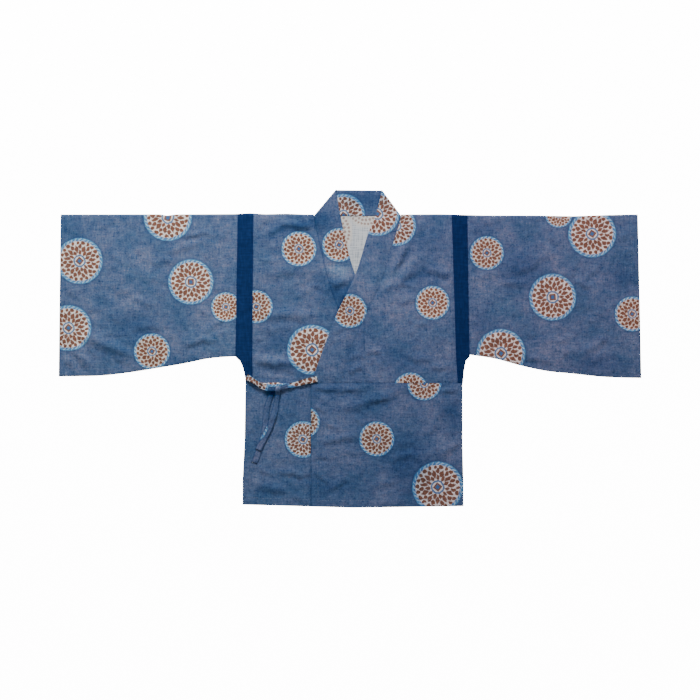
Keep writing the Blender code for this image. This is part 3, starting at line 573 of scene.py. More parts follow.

# %% [markdown]
# Worn blue cloth isn't one blue. Each piece has its own depth of colour, partly faded dye and partly painted
# light that falls off across the jacket. Broad spots are painted on too: some are worn and dark dye, others
# painted shade and painted highlight from folds, creases and layers. A painted map would hold a picture,
# which nothing
# here needs: a short table of soft spots, placed in the photograph's pixels, says the same. Beside the over
# front's edge, the cloth that runs under it gets painted shade.

# %% The dye and painted shade
PIXEL = 0.00229
PHOTO_CENTRE_BACK = 352.5
PHOTO_SHOULDER = 214.4
# Each piece's depth of colour: partly its dye, partly painted light that falls off across the jacket.
DYE_AND_PAINTED_LIGHT = {
    "sleeve_right_cloth": 1.15,
    "body_right_cloth": 1.06,
    "overlap_right_cloth": 0.98,
    "body_left_cloth": 0.96,
    "overlap_left_cloth": 0.94,
    "sleeve_left_cloth": 0.93,
    "peplum_right_cloth": 0.98,
    "peplum_left_cloth": 0.88,
    "collar_cloth": 1.00,
    # Painted highlight: the knot's wrap is made lighter where light catches it.
    "tie_knot_wrap": 1.60,
    "armhole_band_right_cloth": 1.08,
    "armhole_band_left_cloth": 0.78,
    "other": 0.94,
}
Tone = namedtuple("Tone", "px py across down share turn", defaults=(0.0,))
# Spots of worn and dark dye, and painted shade and painted highlight: shade in folds, creases, under the
# collar and in the knot, sheen on the under collar and on a crease.
DYE_SHADE_AND_SHEEN_SPOTS = (
    Tone(138, 326, 23, 13, -0.36), Tone(68, 296, 12, 10, -0.22), Tone(110, 352, 26, 8, -0.16),
    Tone(78, 226, 20, 11, -0.2), Tone(142, 266, 20, 16, 0.12), Tone(168, 260, 14, 11, -0.14),
    Tone(214, 336, 18, 18, 0.2), Tone(186, 362, 24, 5, -0.25), Tone(272, 234, 14, 5, -0.42, 0.55),
    Tone(298, 226, 20, 5, -0.48, 0.2), Tone(322, 219, 12, 11, -0.38), Tone(262, 216, 16, 6, 0.2),
    Tone(266, 262, 18, 5, 0.2), Tone(300, 283, 18, 5, 0.16), Tone(236, 336, 14, 22, 0.14),
    Tone(274, 336, 16, 16, -0.28), Tone(270, 356, 16, 5, 0.2), Tone(276, 367, 24, 5, -0.32),
    Tone(339, 271, 14, 7, 1.35, -0.32), Tone(338, 291, 10, 13, -0.4), Tone(321, 285, 7, 15, -0.24),
    Tone(366, 199, 24, 9, -0.4), Tone(349, 219, 9, 4, -0.6), Tone(374, 276, 15, 22, 0.16),
    Tone(355, 345, 11, 26, -0.18), Tone(398, 360, 26, 13, -0.24), Tone(395, 276, 20, 5, 0.5, 0.8),
    Tone(404, 259, 13, 3, -0.4, 1.1), Tone(388, 290, 12, 3, -0.26, 0.35), Tone(419, 274, 16, 6, -0.34, 0.6),
    Tone(440, 276, 16, 6, -0.26), Tone(438, 240, 30, 16, -0.18), Tone(412, 318, 34, 26, 0.1),
    Tone(367, 405, 24, 7, -0.18, 0.25), Tone(336, 390, 26, 4, -0.24), Tone(296, 402, 24, 12, -0.14),
    Tone(272, 393, 8, 4, -0.85), Tone(409, 464, 20, 27, -0.4), Tone(452, 414, 10, 12, -0.3),
    Tone(322, 436, 14, 16, 0.14), Tone(408, 424, 26, 10, 0.14), Tone(436, 446, 12, 10, 0.14),
    Tone(270, 489, 20, 6, -0.24), Tone(330, 486, 22, 10, -0.2), Tone(480, 229, 15, 8, -0.32),
    Tone(520, 269, 19, 19, -0.38), Tone(486, 286, 15, 14, 0.18), Tone(480, 322, 11, 13, -0.26),
    Tone(506, 308, 16, 10, 0.16), Tone(622, 277, 18, 12, -0.3), Tone(596, 365, 24, 9, -0.3),
    Tone(630, 346, 16, 16, 0.12),
)
BACK_TONES = (-0.30, 0.20)
# Painted shade beside the over front's edge, along the collar and along the lower part's edge.
SHADE_BY_COLLAR = 0.45
SHADE_BY_HEM = 0.25
SHADE_BESIDE_BREADTH = 0.0080
SHADE_BESIDE_FROM = -0.110
SHADE_BESIDE_TO = -0.200
SHADE_BESIDE_RAMP = 0.040
SHADE_BESIDE_ELSEWHERE = 0.30


def from_photo(px, py):
    """A place on the laid jacket from its pixel in the photograph, which is 700 pixels square."""
    return (px - PHOTO_CENTRE_BACK) * PIXEL, (PHOTO_SHOULDER - py) * PIXEL


def dyed_and_shaded(name, points):
    """How strong the colour is at each point: the piece's own share, partly painted light, and broad spots of
    dye, painted shade and painted highlight.
    """
    shade = np.full(len(points), DYE_AND_PAINTED_LIGHT.get(name, DYE_AND_PAINTED_LIGHT["other"]))
    for tone in DYE_SHADE_AND_SHEEN_SPOTS:
        x, y = from_photo(tone.px, tone.py)
        right, up = (points[:, 0] - x) / PIXEL, (points[:, 1] - y) / PIXEL
        cosine, sine = math.cos(tone.turn), math.sin(tone.turn)
        along, across = right * cosine + up * sine, up * cosine - right * sine
        share = np.where(points[:, 2] > SHOULDER_TURN, tone.share, np.clip(tone.share, *BACK_TONES))
        shade *= 1 + share * bell(along, tone.across) * bell(across, tone.down)
    return shade


def shade_beside_over_front(x, y):
    """Painted shade on cloth that runs under the over front: darker right beside that front's edge."""
    beside = np.where(y > COLLAR_FOOT, edge_x(OVER_EDGES[0], y), PEPLUM_OVER_EDGE) - x
    near_neck = eased((SHADE_BESIDE_FROM - y) / SHADE_BESIDE_RAMP) * eased((y - SHADE_BESIDE_TO) / SHADE_BESIDE_RAMP + 1)
    by_collar = SHADE_BY_COLLAR * (SHADE_BESIDE_ELSEWHERE + (1 - SHADE_BESIDE_ELSEWHERE) * near_neck)
    share = np.where(y > COLLAR_FOOT, by_collar * eased((SHADE_BESIDE_FROM - y) / SHADE_BESIDE_RAMP), SHADE_BY_HEM)
    breadth = np.where(y > COLLAR_FOOT, SHADE_BESIDE_BREADTH, SHADE_BESIDE_BREADTH / 2)
    return 1 - share * bell(beside, breadth)


# The spots are partly dye and partly painted shade and highlight.
print("worn and dark areas:", len(DYE_SHADE_AND_SHEEN_SPOTS), "pieces dyed apart:", len(DYE_AND_PAINTED_LIGHT) - 1)

# %% [markdown]
# The print is a roundel repeat. Painting it by position alone would need a picture, so every corner of every
# face carries its place inside the nearest roundel, and the material draws the roundel from that by circle
# maths. Corners and not points carry it, so two roundels can be neighbours.

# %% Places inside the roundels
Roundel = namedtuple("Roundel", "px py radius turn part", defaults=(0,))
NO_PRINT = 9.0
PRINT_REACH = 1.5
SMALL_ROUNDEL = 0.042


def roundel_places(roundels, sheet, corners, starts, parts):
    """Each corner's place in its face's nearest roundel, and 1 there for the small, warmer ones."""
    counts = np.diff(np.append(starts, len(corners)))
    middles = np.add.reduceat(sheet[corners], starts, axis=0) / counts[:, None]
    places = np.full((len(corners), 3), NO_PRINT)
    nearest = np.full(len(starts), PRINT_REACH)
    for roundel in roundels:
        centre = np.array(roundel[:2])
        away = np.linalg.norm(middles - centre, axis=1) / roundel.radius
        nearer = (away < nearest) & (parts == roundel.part)
        nearest = np.where(nearer, away, nearest)
        closer = np.repeat(nearer, counts)
        local = (sheet[corners] - centre) / roundel.radius
        cosine, sine = math.cos(roundel.turn), math.sin(roundel.turn)
        turned = np.column_stack([local @ (cosine, sine), local @ (-sine, cosine)])
        places[closer, :2] = turned[closer]
        places[closer, 2] = 1.0 if roundel.radius < SMALL_ROUNDEL else 0.0
    return places


print("a corner outside every roundel carries", NO_PRINT)

# %% [markdown]
# Now a piece can be built as a mesh. Beside the roundel attribute it carries its place on the sheet for the
# weave, with the depth of its colour as a third part, partly dye and partly painted shade and highlight, and
# the distance to the hem. One function then does all that a sewn piece needs: it cuts, lays, prints and
# builds it, hangs it on the jacket's one body and hides the solid that it stands for.

# %% Building a piece
NO_HEM = 0.1
# Painted shade: a dark line along hems and sides, and along seams, where the cloth turns under.
EDGE_SHADE = 0.42
EDGE_SHADE_LINE = 0.0017
SEAM_SHADE = 0.34
SEAM_SHADE_LINE = 0.0021
UNDER_THE_FRONT = ("body_right_cloth", "overlap_right_cloth", "peplum_right_cloth")


def build(name, points, faces, sheet, hem, inside, roundels=(), parts=0, edge=1.0):
    """A piece of cloth with its attributes. Faces flagged inside show the cloth's wrong side."""
    placed = points - (ORIGIN.x, ORIGIN.y, 0)
    mesh = bpy.data.meshes.new(name)
    mesh.from_pydata(placed.tolist(), [], faces)
    corners = np.concatenate(faces)
    starts = np.concatenate([[0], np.cumsum([len(face) for face in faces])[:-1]])
    carried = mesh.attributes.new("sheet", "FLOAT_VECTOR", "POINT")
    carried.data.foreach_set("vector", np.column_stack([sheet, dyed_and_shaded(name, points) * edge]).ravel())
    mesh.attributes.new("hem", "FLOAT", "POINT").data.foreach_set("value", np.minimum(hem, NO_HEM))
    places = roundel_places(roundels, sheet, corners, starts, parts)
    mesh.attributes.new("roundel", "FLOAT_VECTOR", "CORNER").data.foreach_set("vector", places.ravel())
    mesh.polygons.foreach_set("material_index", np.array(inside, dtype=np.int32))
    mesh.shade_smooth()
    mesh.update()
    piece = bpy.data.objects.new(name, mesh)
    bpy.context.scene.collection.objects.link(piece)
    return piece


def build_shell(name, piece, base, roundels):
    """The closed shell of a cut piece: its outer face and its inner face, joined along the last ring."""
    outer, inner = lay(piece, base)
    count = len(outer)
    doubled = np.ones(count, bool)
    doubled[piece.last_ring] = False
    twin = np.arange(count)
    twin[doubled] = count + np.arange(doubled.sum())
    faces = piece.faces + [[int(twin[i]) for i in face[::-1]] for face in piece.faces]
    sheet = np.vstack([piece.points, piece.points[doubled]])
    hem = far_from(piece, "hem")
    turned_up = [bool(hem[face].mean() < HEM_WIDTH) for face in piece.faces]
    inside = [False] * len(piece.faces) + [not up for up in turned_up]
    points = np.vstack([outer, inner[doubled]])
    # Painted shade along hems, sides and seams, and beside the over front, darkens the shade attribute.
    edge = 1 - EDGE_SHADE * bell(far_from(piece, "hem", "side"), EDGE_SHADE_LINE)
    edge = edge * (1 - SEAM_SHADE * bell(far_from(piece, "seam"), SEAM_SHADE_LINE))
    if name in UNDER_THE_FRONT:
        edge = edge * shade_beside_over_front(outer[:, 0], outer[:, 1])
    edge = np.append(edge, edge[doubled])
    return build(name, points, faces, sheet, np.append(hem, hem[doubled]), inside, roundels, edge=edge)


def stand_in(piece, node):
    """Put a piece in its solid's place, on the jacket's one body."""
    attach(piece, "root")
    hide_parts(node)


def state_sheet(piece, cut_size, area):
    """State the flat size that a piece was cut to."""
    sides = [round(side, 3) for side in cut_size]
    print(piece.name, "cut", sides, "area", round(area, 4), "faces", len(piece.data.polygons))
    return piece


def sew(name, stretches, columns, rows, base):
    """Cut, lay and print one piece, and hide the solid that it stands for."""
    piece = cut(stretches, columns, rows)
    cloth = build_shell(name + "_cloth", piece, base, printed(name))
    width, length = (float(side) for side in piece.outline.max(axis=0) - piece.outline.min(axis=0))
    stand_in(cloth, name)
    return state_sheet(cloth, (width, length), flat_area(piece.outline))


print("under the over front:", UNDER_THE_FRONT)

# %% [markdown]
# The roundels' places follow the photograph, cut by seams and edges where it shows them cut. Beyond the
# shoulder fold the same column of pixels runs on up the back, so a roundel there has a smaller py. What the
# photograph hides gets a spread of the same kind.

# %% Where the roundels lie
ROUNDELS = {
    "sleeve_right": (
        Roundel(79.7, 261, 0.053, 0.1), Roundel(167.9, 216.9, 0.0555, 0.5), Roundel(190.9, 282, 0.052, 0.8),
        Roundel(68.7, 328, 0.0525, 0.1), Roundel(152, 351.4, 0.0415, 0.3), Roundel(226, 307, 0.034, 0.6),
        Roundel(104, 152, 0.041, 0.2), Roundel(212, 158, 0.053, 0.4), Roundel(70, 92, 0.054, 0.9),
        Roundel(158, 96, 0.052, 0.1), Roundel(222, 84, 0.04, 0.7),
    ),
    "body_right": (
        Roundel(298.9, 248.9, 0.0402, 0.2), Roundel(256.3, 306.8, 0.038, 0.5),
        Roundel(312.1, 349.8, 0.0575, 0.1), Roundel(276, 160, 0.054, 0.7), Roundel(329, 196.8, 0.055, 0.25),
        Roundel(366, 222.8, 0.049, 0.25), Roundel(330, 108, 0.04, 0.3), Roundel(270, 72, 0.04, 0.55),
    ),
    "body_left": (
        Roundel(396, 226, 0.046, 0.3), Roundel(366, 222.8, 0.049, 0.25), Roundel(432.5, 302.8, 0.0391, 0.1),
        Roundel(410.5, 389.5, 0.0391, 0.8), Roundel(426, 148, 0.04, 0.2), Roundel(380, 96, 0.054, 0.5),
        Roundel(440, 60, 0.053, 0.05),
    ),
    "sleeve_left": (
        Roundel(486.8, 253, 0.0391, 0.1), Roundel(592, 233.6, 0.0552, 0.2),
        Roundel(558.6, 213.4, 0.031, 0.4), Roundel(552.5, 297.2, 0.054, 0.9),
        Roundel(632, 314, 0.0402, 0.3), Roundel(500.9, 353.4, 0.0563, 0.15), Roundel(500, 160, 0.053, 0.6),
        Roundel(604, 140, 0.04, 0.35), Roundel(556, 98, 0.054, 0.25), Roundel(482, 84, 0.04, 0.8),
        Roundel(628, 76, 0.052, 0.1),
    ),
    "peplum_left": (
        Roundel(424.2, 383.5, 0.0391, 0.4), Roundel(303.5, 422, 0.0375, 0.7),
        Roundel(376.7, 438.9, 0.0402, 0.2), Roundel(437.6, 487, 0.0587, 0.12),
    ),
    "peplum_right": (
        Roundel(303, 439.4, 0.0421, 0.5), Roundel(366, 476, 0.053, 0.2),
    ),
    "peplum_back": (
        Roundel(282, 6, 0.054, 0.2), Roundel(352, -34, 0.04, 0.4), Roundel(420, 14, 0.04, 0.7),
        Roundel(438, -52, 0.054, 0.1),
    ),
    "collar": (
        Roundel(339.2, 245, 0.0391, 0.3, part=0), Roundel(374, 318, 0.052, 0.6, part=0),
        Roundel(343.5, 215.5, 0.0495, 0.2, part=1), Roundel(377.5, 214, 0.0506, 0.1, part=2),
        Roundel(349.8, 311, 0.0391, 0.4, part=2),
    ),
}


def printed(name):
    """The piece's roundels on its sheet, in metres."""
    placed = []
    for roundel in ROUNDELS.get(name, ()):
        x, v = from_photo(roundel.px, roundel.py)
        placed.append(Roundel(x, v, roundel.radius, roundel.turn, roundel.part))
    return placed


print("roundels:", sum(len(rows) for rows in ROUNDELS.values()))

# %% [markdown]
# The bodice is two halves, each cut in one over the shoulder. Its outline goes down the collar seam, along
# the straight seam of the overlap, across the waist, up the armhole strip's seam, over the shoulder and back.
# Front and back could be two objects, but one piece rolls over the shoulder with no seam, as the real one.

# %% Bodice
SIDES = ("right", "left")
EVERY_THIRD = slice(2, None, 3)


def front_rules(side):
    """What shapes a front: its sign in x, its collar seam, what it lies on, and its waist seam."""
    if side == "right":
        return -1, UNDER_EDGES[1], under_base, UNDER_WAIST
    return 1, OVER_EDGES[1], over_base, OVER_WAIST


def bends(table, start, end):
    """The table's own points between two values of x, in the order from start to end."""
    inside = [spot for spot in table if min(start, end) < spot.x < max(start, end)]
    return sorted(inside, key=lambda spot: abs(spot.x - start))


def meets_collar(seam, x, sign):
    """Height on the jacket where the upright line at x meets the collar seam."""
    return float(np.interp(-sign * x, -sign * seam[:, 0], seam[:, 1]))


def at(table, side, y):
    """As reach, for one named side."""
    return float(reach(table, -1 if side == "right" else 1, y))


def rows_over_shoulder(deepest):
    """Cuts across a piece that runs over the shoulder: fine in front, close at the fold, coarse behind."""
    beside = [-BACK_CELL, BACK_CELL / 2, -BACK_CELL / 2]
    front, back = lines(-deepest, -BACK_CELL, FRONT_CELL), lines(BACK_CELL, deepest, BACK_CELL)
    return front + turn_lines() + back + beside


def make_body(side):
    """One half of the bodice, from the waist in front, over the shoulder, to the waist behind."""
    sign, seam, base, waist = front_rules(side)
    neck = seam[0][0] + sign * NECK_CLEARANCE
    overlap = sign * (OVERLAP_SEAM + INSET)
    meets = meets_collar(seam, overlap, sign)
    top = sign * (at(BAND_SEAM, side, 0) - INSET)
    underarm = sign * (at(BAND_SEAM, side, BAND_SEAM[1].y) - INSET)
    foot = sign * (at(BAND_SEAM, side, WAIST) - INSET)
    points = [(neck, 0.0)]
    points += [(x + sign * INSET, y) for x, y in seam[EVERY_THIRD] if y > meets + BACK_CELL]
    points += [(overlap, meets), (overlap, level(waist, overlap) + INSET)]
    points += [(spot.x, spot.y + INSET) for spot in bends(waist, overlap, foot)]
    points += [(foot, level(waist, foot) + INSET), (underarm, BAND_SEAM[1].y), (top, 0.0)]
    points += [(underarm, -BAND_SEAM[1].y), (foot, -level(BACK_WAIST, foot) - INSET)]
    points += [(sign * INSET, -level(BACK_WAIST, 0) - INSET), (sign * INSET, NECKLINE_DROP + INSET)]
    points += [(neck, NECKLINE_DROP + INSET)]
    columns = lines(min(0, top, overlap), max(0, top, overlap), FRONT_CELL)
    return sew("body_" + side, [Stretch("seam", points)], columns, rows_over_shoulder(-WAIST), base)


bodice = [make_body(side) for side in SIDES]

# %% [markdown]
# The overlap is the narrow wedge that widens each front so that they cross. It could be drawn on the front,
# but its seam dips and puckers, so it is a piece. Its grain and its cells run with the front's.

# %% Overlap wedges
def make_overlap(side):
    """The wedge between one front and the collar."""
    sign, seam, base, waist = front_rules(side)
    straight = sign * (OVERLAP_SEAM - INSET)
    slanted = seam + (sign * INSET, 0)
    tip = meets_collar(slanted, straight, sign)
    foot = float(edge_x(slanted, COLLAR_FOOT))
    points = [(straight, tip)]
    points += [(x, y) for x, y in slanted[EVERY_THIRD] if COLLAR_FOOT + BACK_CELL < y < tip - BACK_CELL]
    points.append((foot, level(waist, foot) + INSET))
    points += [(spot.x, spot.y + INSET) for spot in bends(waist, foot, straight)]
    points.append((straight, level(waist, straight) + INSET))
    columns = lines(min(foot, straight), max(foot, straight), FRONT_CELL)
    rows = lines(WAIST, tip, FRONT_CELL)
    return sew("overlap_" + side, [Stretch("seam", points)], columns, rows, base)


overlaps = [make_overlap(side) for side in SIDES]

# %% [markdown]
# The navy strips run over the shoulder between bodice and sleeve, and on down the side to the waist. Below
# the underarm their outer edge is a side seam, where the front bows down to meet the back. They could be a
# colour on the sleeve, but then they would have neither their two seams nor a grain of their own.

# %% Armhole strips
def make_band(side):
    """The strip at one armhole, with its front and its back."""
    sign, _, base, waist = front_rules(side)
    inner = [(sign * (getattr(row, side) + INSET), row.y) for row in BAND_SEAM[:2]]
    armhole = [(sign * (getattr(row, side) - INSET), row.y) for row in BAND_EDGE[:2]]
    flank = [(sign * (getattr(row, side) - INSET), row.y) for row in BAND_EDGE[1:-1]]
    inner_foot = sign * (at(BAND_SEAM, side, WAIST) + INSET)
    outer_foot = sign * (at(BAND_EDGE, side, WAIST) - INSET)
    down = [*inner, (inner_foot, level(waist, inner_foot) + INSET)]
    back_foot = (outer_foot, -level(BACK_WAIST, outer_foot) - INSET)
    up = [back_foot, (inner_foot, -level(BACK_WAIST, inner_foot) - INSET), (inner[1][0], -inner[1][1])]
    stretches = [
        Stretch("seam", down),
        Stretch("side", [(outer_foot, level(waist, outer_foot) + INSET), *flank[:0:-1]]),
        Stretch("seam", armhole[::-1]),
        Stretch("side", [(x, -y) for x, y in flank]),
        Stretch("seam", up),
    ]
    columns = lines(*sorted((inner[0][0], armhole[1][0])), FRONT_CELL)
    rows = rows_over_shoulder(-WAIST)
    return sew("armhole_band_" + side, stretches, columns, rows, base)


bands = [make_band(side) for side in SIDES]

# %% [markdown]
# A sleeve is one piece too, folded along its top and sewn along its slanting bottom, where both layers bow
# together. Its cuff is hemmed and its armhole is sewn to the strip. A tube could be flattened to the same
# form, but a sheet that folds at the top carries the print over the fold unbroken.

# %% Sleeves
SLEEVE_STEPS = 25
SLEEVE_SPACING = 0.01


def make_sleeve(side):
    """One sleeve, with its front and its back, open at the cuff."""
    sign, _, base, _ = front_rules(side)
    along = np.linspace(0, 1, SLEEVE_STEPS)
    depth = smooth([(row.along, getattr(row, side)) for row in SLEEVE_DEPTH], SLEEVE_SPACING)
    down = -np.interp(along, depth[:, 0], depth[:, 1])
    armhole = reach(BAND_EDGE, sign, np.maximum(down, UNDERARM)) + INSET
    across = sign * (armhole + along * (reach(CUFF, sign, down) - armhole))
    bottom = list(zip(across, down))
    shoulder = sign * (at(BAND_EDGE, side, 0) + INSET)
    cuff_top = (sign * getattr(CUFF[0], side), 0.0)
    underarm = bottom[0]
    stretches = [
        Stretch("side", bottom[:-1]),
        Stretch("hem", [bottom[-1], cuff_top]),
        Stretch("side", [(x, -y) for x, y in bottom[:0:-1]]),
        Stretch("seam", [(underarm[0], -underarm[1]), (shoulder, 0.0)]),
    ]
    columns = lines(*sorted((shoulder, bottom[-1][0])), FRONT_CELL)
    return sew("sleeve_" + side, stretches, columns, rows_over_shoulder(-min(down)), base)


sleeves = [make_sleeve(side) for side in SIDES]

# %% [markdown]
# Below the waist seam hang a back and two fronts. The over front's folded edge lies well past the middle,
# on the under front. All three are hemmed at the bottom; on the sheet the back's v runs the other way. They
# share the waist, the sides and the hem, so one function lays out all three from one table.

# %% Lower part
def peplum_stretches(low, high, waist, back=False):
    """Outline of a lower piece between x = low and high, or a side seam where that is None."""
    first = -PEPLUM_SIDE[0].right if low is None else low
    last = PEPLUM_SIDE[0].left if high is None else high
    first_foot = -PEPLUM_SIDE[-1].right if low is None else low
    last_foot = PEPLUM_SIDE[-1].left if high is None else high
    down = [(first, level(waist, first) - INSET)]
    down += [(-row.right, row.y) for row in PEPLUM_SIDE[1:3]] if low is None else []
    hem = [(first_foot, level(HEM, first_foot)), (0.0, HEM[1].y)]
    up = [(last_foot, level(HEM, last_foot))]
    up += [(row.left, row.y) for row in PEPLUM_SIDE[2:0:-1]] if high is None else []
    seam = [(last, level(waist, last) - INSET)]
    seam += [(spot.x, spot.y - INSET) for spot in bends(waist, last, first)]
    stretches = [
        Stretch("side" if low is None else "hem", down),
        Stretch("hem", hem),
        Stretch("side" if high is None else "hem", up),
        Stretch("seam", seam),
    ]
    if back:
        return [Stretch(stretch.edge, [(x, -y) for x, y in stretch.points]) for stretch in stretches]
    return stretches


def make_peplum():
    """The back and the two fronts below the waist."""
    low, high = -PEPLUM_SIDE[0].right, PEPLUM_SIDE[0].left
    rows = lines(HEM[1].y, WAIST, FRONT_CELL)
    back_rows = lines(-WAIST, -HEM[1].y, BACK_CELL)
    under_columns = lines(low, PEPLUM_UNDER_EDGE, FRONT_CELL)
    over_columns = lines(PEPLUM_OVER_EDGE, high, FRONT_CELL)
    whole = peplum_stretches(None, None, BACK_WAIST, back=True)
    under = peplum_stretches(None, PEPLUM_UNDER_EDGE, UNDER_WAIST)
    over = peplum_stretches(PEPLUM_OVER_EDGE, None, OVER_WAIST)
    return [
        sew("peplum_back", whole, lines(low, high, BACK_CELL), back_rows, under_base),
        sew("peplum_right", under, under_columns, rows, under_base),
        sew("peplum_left", over, over_columns, rows, over_base),
    ]


peplum = make_peplum()

# %% [markdown]
# The collar and the tie are strips, not panels: rows of points across a line that bends. A curve with a
# bevel would give a strip too, but it couldn't follow the cloth that it lies on. Here both faces of a strip
# are one grid each, and the two grids share their border, which closes the strip.

# %% Building a strip
def swept(middle):
    """Along a line of points: the step ahead, the step to its left, and the length run so far."""
    ahead = np.gradient(middle, axis=0)
    ahead /= np.linalg.norm(ahead, axis=1)[:, None]
    run = np.concatenate([[0], np.cumsum(np.linalg.norm(np.diff(middle, axis=0), axis=1))])
    return ahead, np.column_stack([-ahead[:, 1], ahead[:, 0]]), run


def strip(name, outer, inner, sheet, roundels=(), parts=0, edge=None):
    """A closed strip from rows of outer points and the inner points behind them."""
    count, width = outer.shape[:2]
    border = np.zeros((count, width), bool)
    border[[0, -1]] = True
    border[:, [0, -1]] = True
    outer = outer.copy()
    outer[border] = (outer[border] + inner[border]) / 2
    front = np.arange(count * width).reshape(count, width)
    back = front.copy()
    back[~border] = count * width + np.arange((~border).sum())
    i, j = count // 2, width // 2
    start = outer[i, j]
    facing = np.cross(outer[i, j + 1] - start, outer[i + 1, j] - start) @ (start - inner[i, j])
    faces = []
    for grid, forward in ((front, facing > 0), (back, facing < 0)):
        quads = np.stack([grid[:-1, :-1], grid[:-1, 1:], grid[1:, 1:], grid[1:, :-1]], axis=-1).reshape(-1, 4)
        faces += (quads if forward else quads[:, ::-1]).tolist()
    points = np.vstack([outer.reshape(-1, 3), inner[~border]])
    on_sheet = np.vstack([sheet.reshape(-1, 2), sheet[~border]])
    far = np.full(len(points), NO_HEM)
    edge = np.ones((count, width)) if edge is None else edge
    edge = np.append(edge.ravel(), edge[~border])
    return build(name, points, faces, on_sheet, far, [False] * len(faces), roundels, parts, edge)


collar_runs = [swept(edges[0])[2][-1] for edges in (UNDER_EDGES, OVER_EDGES)]
print("collar's free edge, under and over:", [round(float(run), 3) for run in collar_runs])

# %% [markdown]
# The collar is one strip folded double. It comes up the under front, turns over at the neck, lies flat behind
# the neck, turns again and comes down the over front. It has some body, so its creases are softer than the
# front's, and its free edge is a round fold.

# %% Collar
COLLAR_WIDTH = 0.063
COLLAR_SHELL = 0.0016
COLLAR_EDGE = 0.0022
COLLAR_COLUMNS = 17
COLLAR_FOOT_ROWS = (0.14, 0.45)
TURN_STEPS = 7
NECK_ROWS = 26
COLLAR_EASE = 0.8
CollarParts = namedtuple("CollarParts", "under_front neck over_front")
COLLAR_SEAM_SHADE = CollarParts(0.38, 0.0, 0.20)
COLLAR_SEAM_LINE = 0.0030
COLLAR_SINK = 0.0010
COLLAR_SINK_BREADTH = 0.020
COLLAR_RIM_ROWS = (0.0, 0.22, 0.55)
COLLAR_HOLD_IN = 0.010
NECK_CALM = 0.03
NECK_SINK = 0.05


def collar_shares(width):
    """Where the collar's lengthwise lines lie across it, close together at both edges."""
    rim = COLLAR_EDGE / width
    near = np.array(COLLAR_RIM_ROWS) * rim
    middle = np.linspace(rim, 1 - rim, COLLAR_COLUMNS)
    return np.concatenate([near, middle, 1 - near[::-1]])


COLLAR_SHARES = collar_shares(COLLAR_WIDTH)


def with_foot_rows(edge):
    """A collar edge with two more rows close to its foot, where its end rounds off."""
    foot, above = edge[-1], edge[-2]
    extra = [foot + (above - foot) * share for share in COLLAR_FOOT_ROWS[::-1]]
    return np.vstack([edge[:-1], extra, foot])


def collar_front(free, seam, base):
    """A front stretch of the collar, from the neck down: its outer and inner points."""
    across = free[:, None] + (seam - free)[:, None] * COLLAR_SHARES[:, None]
    x, y = across[..., 0], across[..., 1]
    width = np.linalg.norm(seam - free, axis=1)[:, None]
    from_free = COLLAR_SHARES * width
    from_seam = width - from_free
    from_foot = np.maximum(y - COLLAR_FOOT, 0)
    rim = rounded(np.minimum(from_free, from_seam) / COLLAR_EDGE) * rounded(from_foot / COLLAR_EDGE)
    held = eased(np.minimum(from_free, from_seam) / COLLAR_HOLD_IN) * eased(from_foot / FOLD_HOLD)
    sewn = np.minimum(from_seam, from_foot)
    fine = (relief(x, y) * held * COLLAR_EASE + puckering(x, y, sewn)) * eased(-y / NECK_CALM)
    sunk = COLLAR_SINK * (1 - eased(sewn / COLLAR_SINK_BREADTH)) * eased(-y / NECK_SINK)
    middle = base(x, y) + neck_climb(y) + COLLAR_CLOTH - (COLLAR_SHELL + sunk) / 2 + fine
    half = (COLLAR_SHELL - sunk) / 2 * rim
    return [np.dstack([x, y, middle + out * half]) for out in (1, -1)]


def collar_turn(free, seam, outward_sign, upward):
    """The roll from the back neck to a front, as rows from below up or from above down."""
    axis = (seam - free) / np.linalg.norm(seam - free)
    normal = np.array((-axis[1], axis[0])) * outward_sign
    angles = np.linspace(-1, 1, TURN_STEPS) * math.pi / 2
    angles = angles if upward else angles[::-1]
    rim = rounded(np.minimum(COLLAR_SHARES, 1 - COLLAR_SHARES) * np.linalg.norm(seam - free) / COLLAR_EDGE)
    faces = []
    for out in (1, -1):
        radius = COLLAR_TURN - COLLAR_SHELL / 2 + out * COLLAR_SHELL / 2 * rim
        rows = []
        for angle in angles:
            place = free + (seam - free) * COLLAR_SHARES[:, None]
            place = place + normal * (radius * math.cos(angle) - COLLAR_TURN)[:, None]
            rows.append(np.column_stack([place, COLLAR_TURN + radius * math.sin(angle)]))
        faces.append(np.array(rows))
    return faces


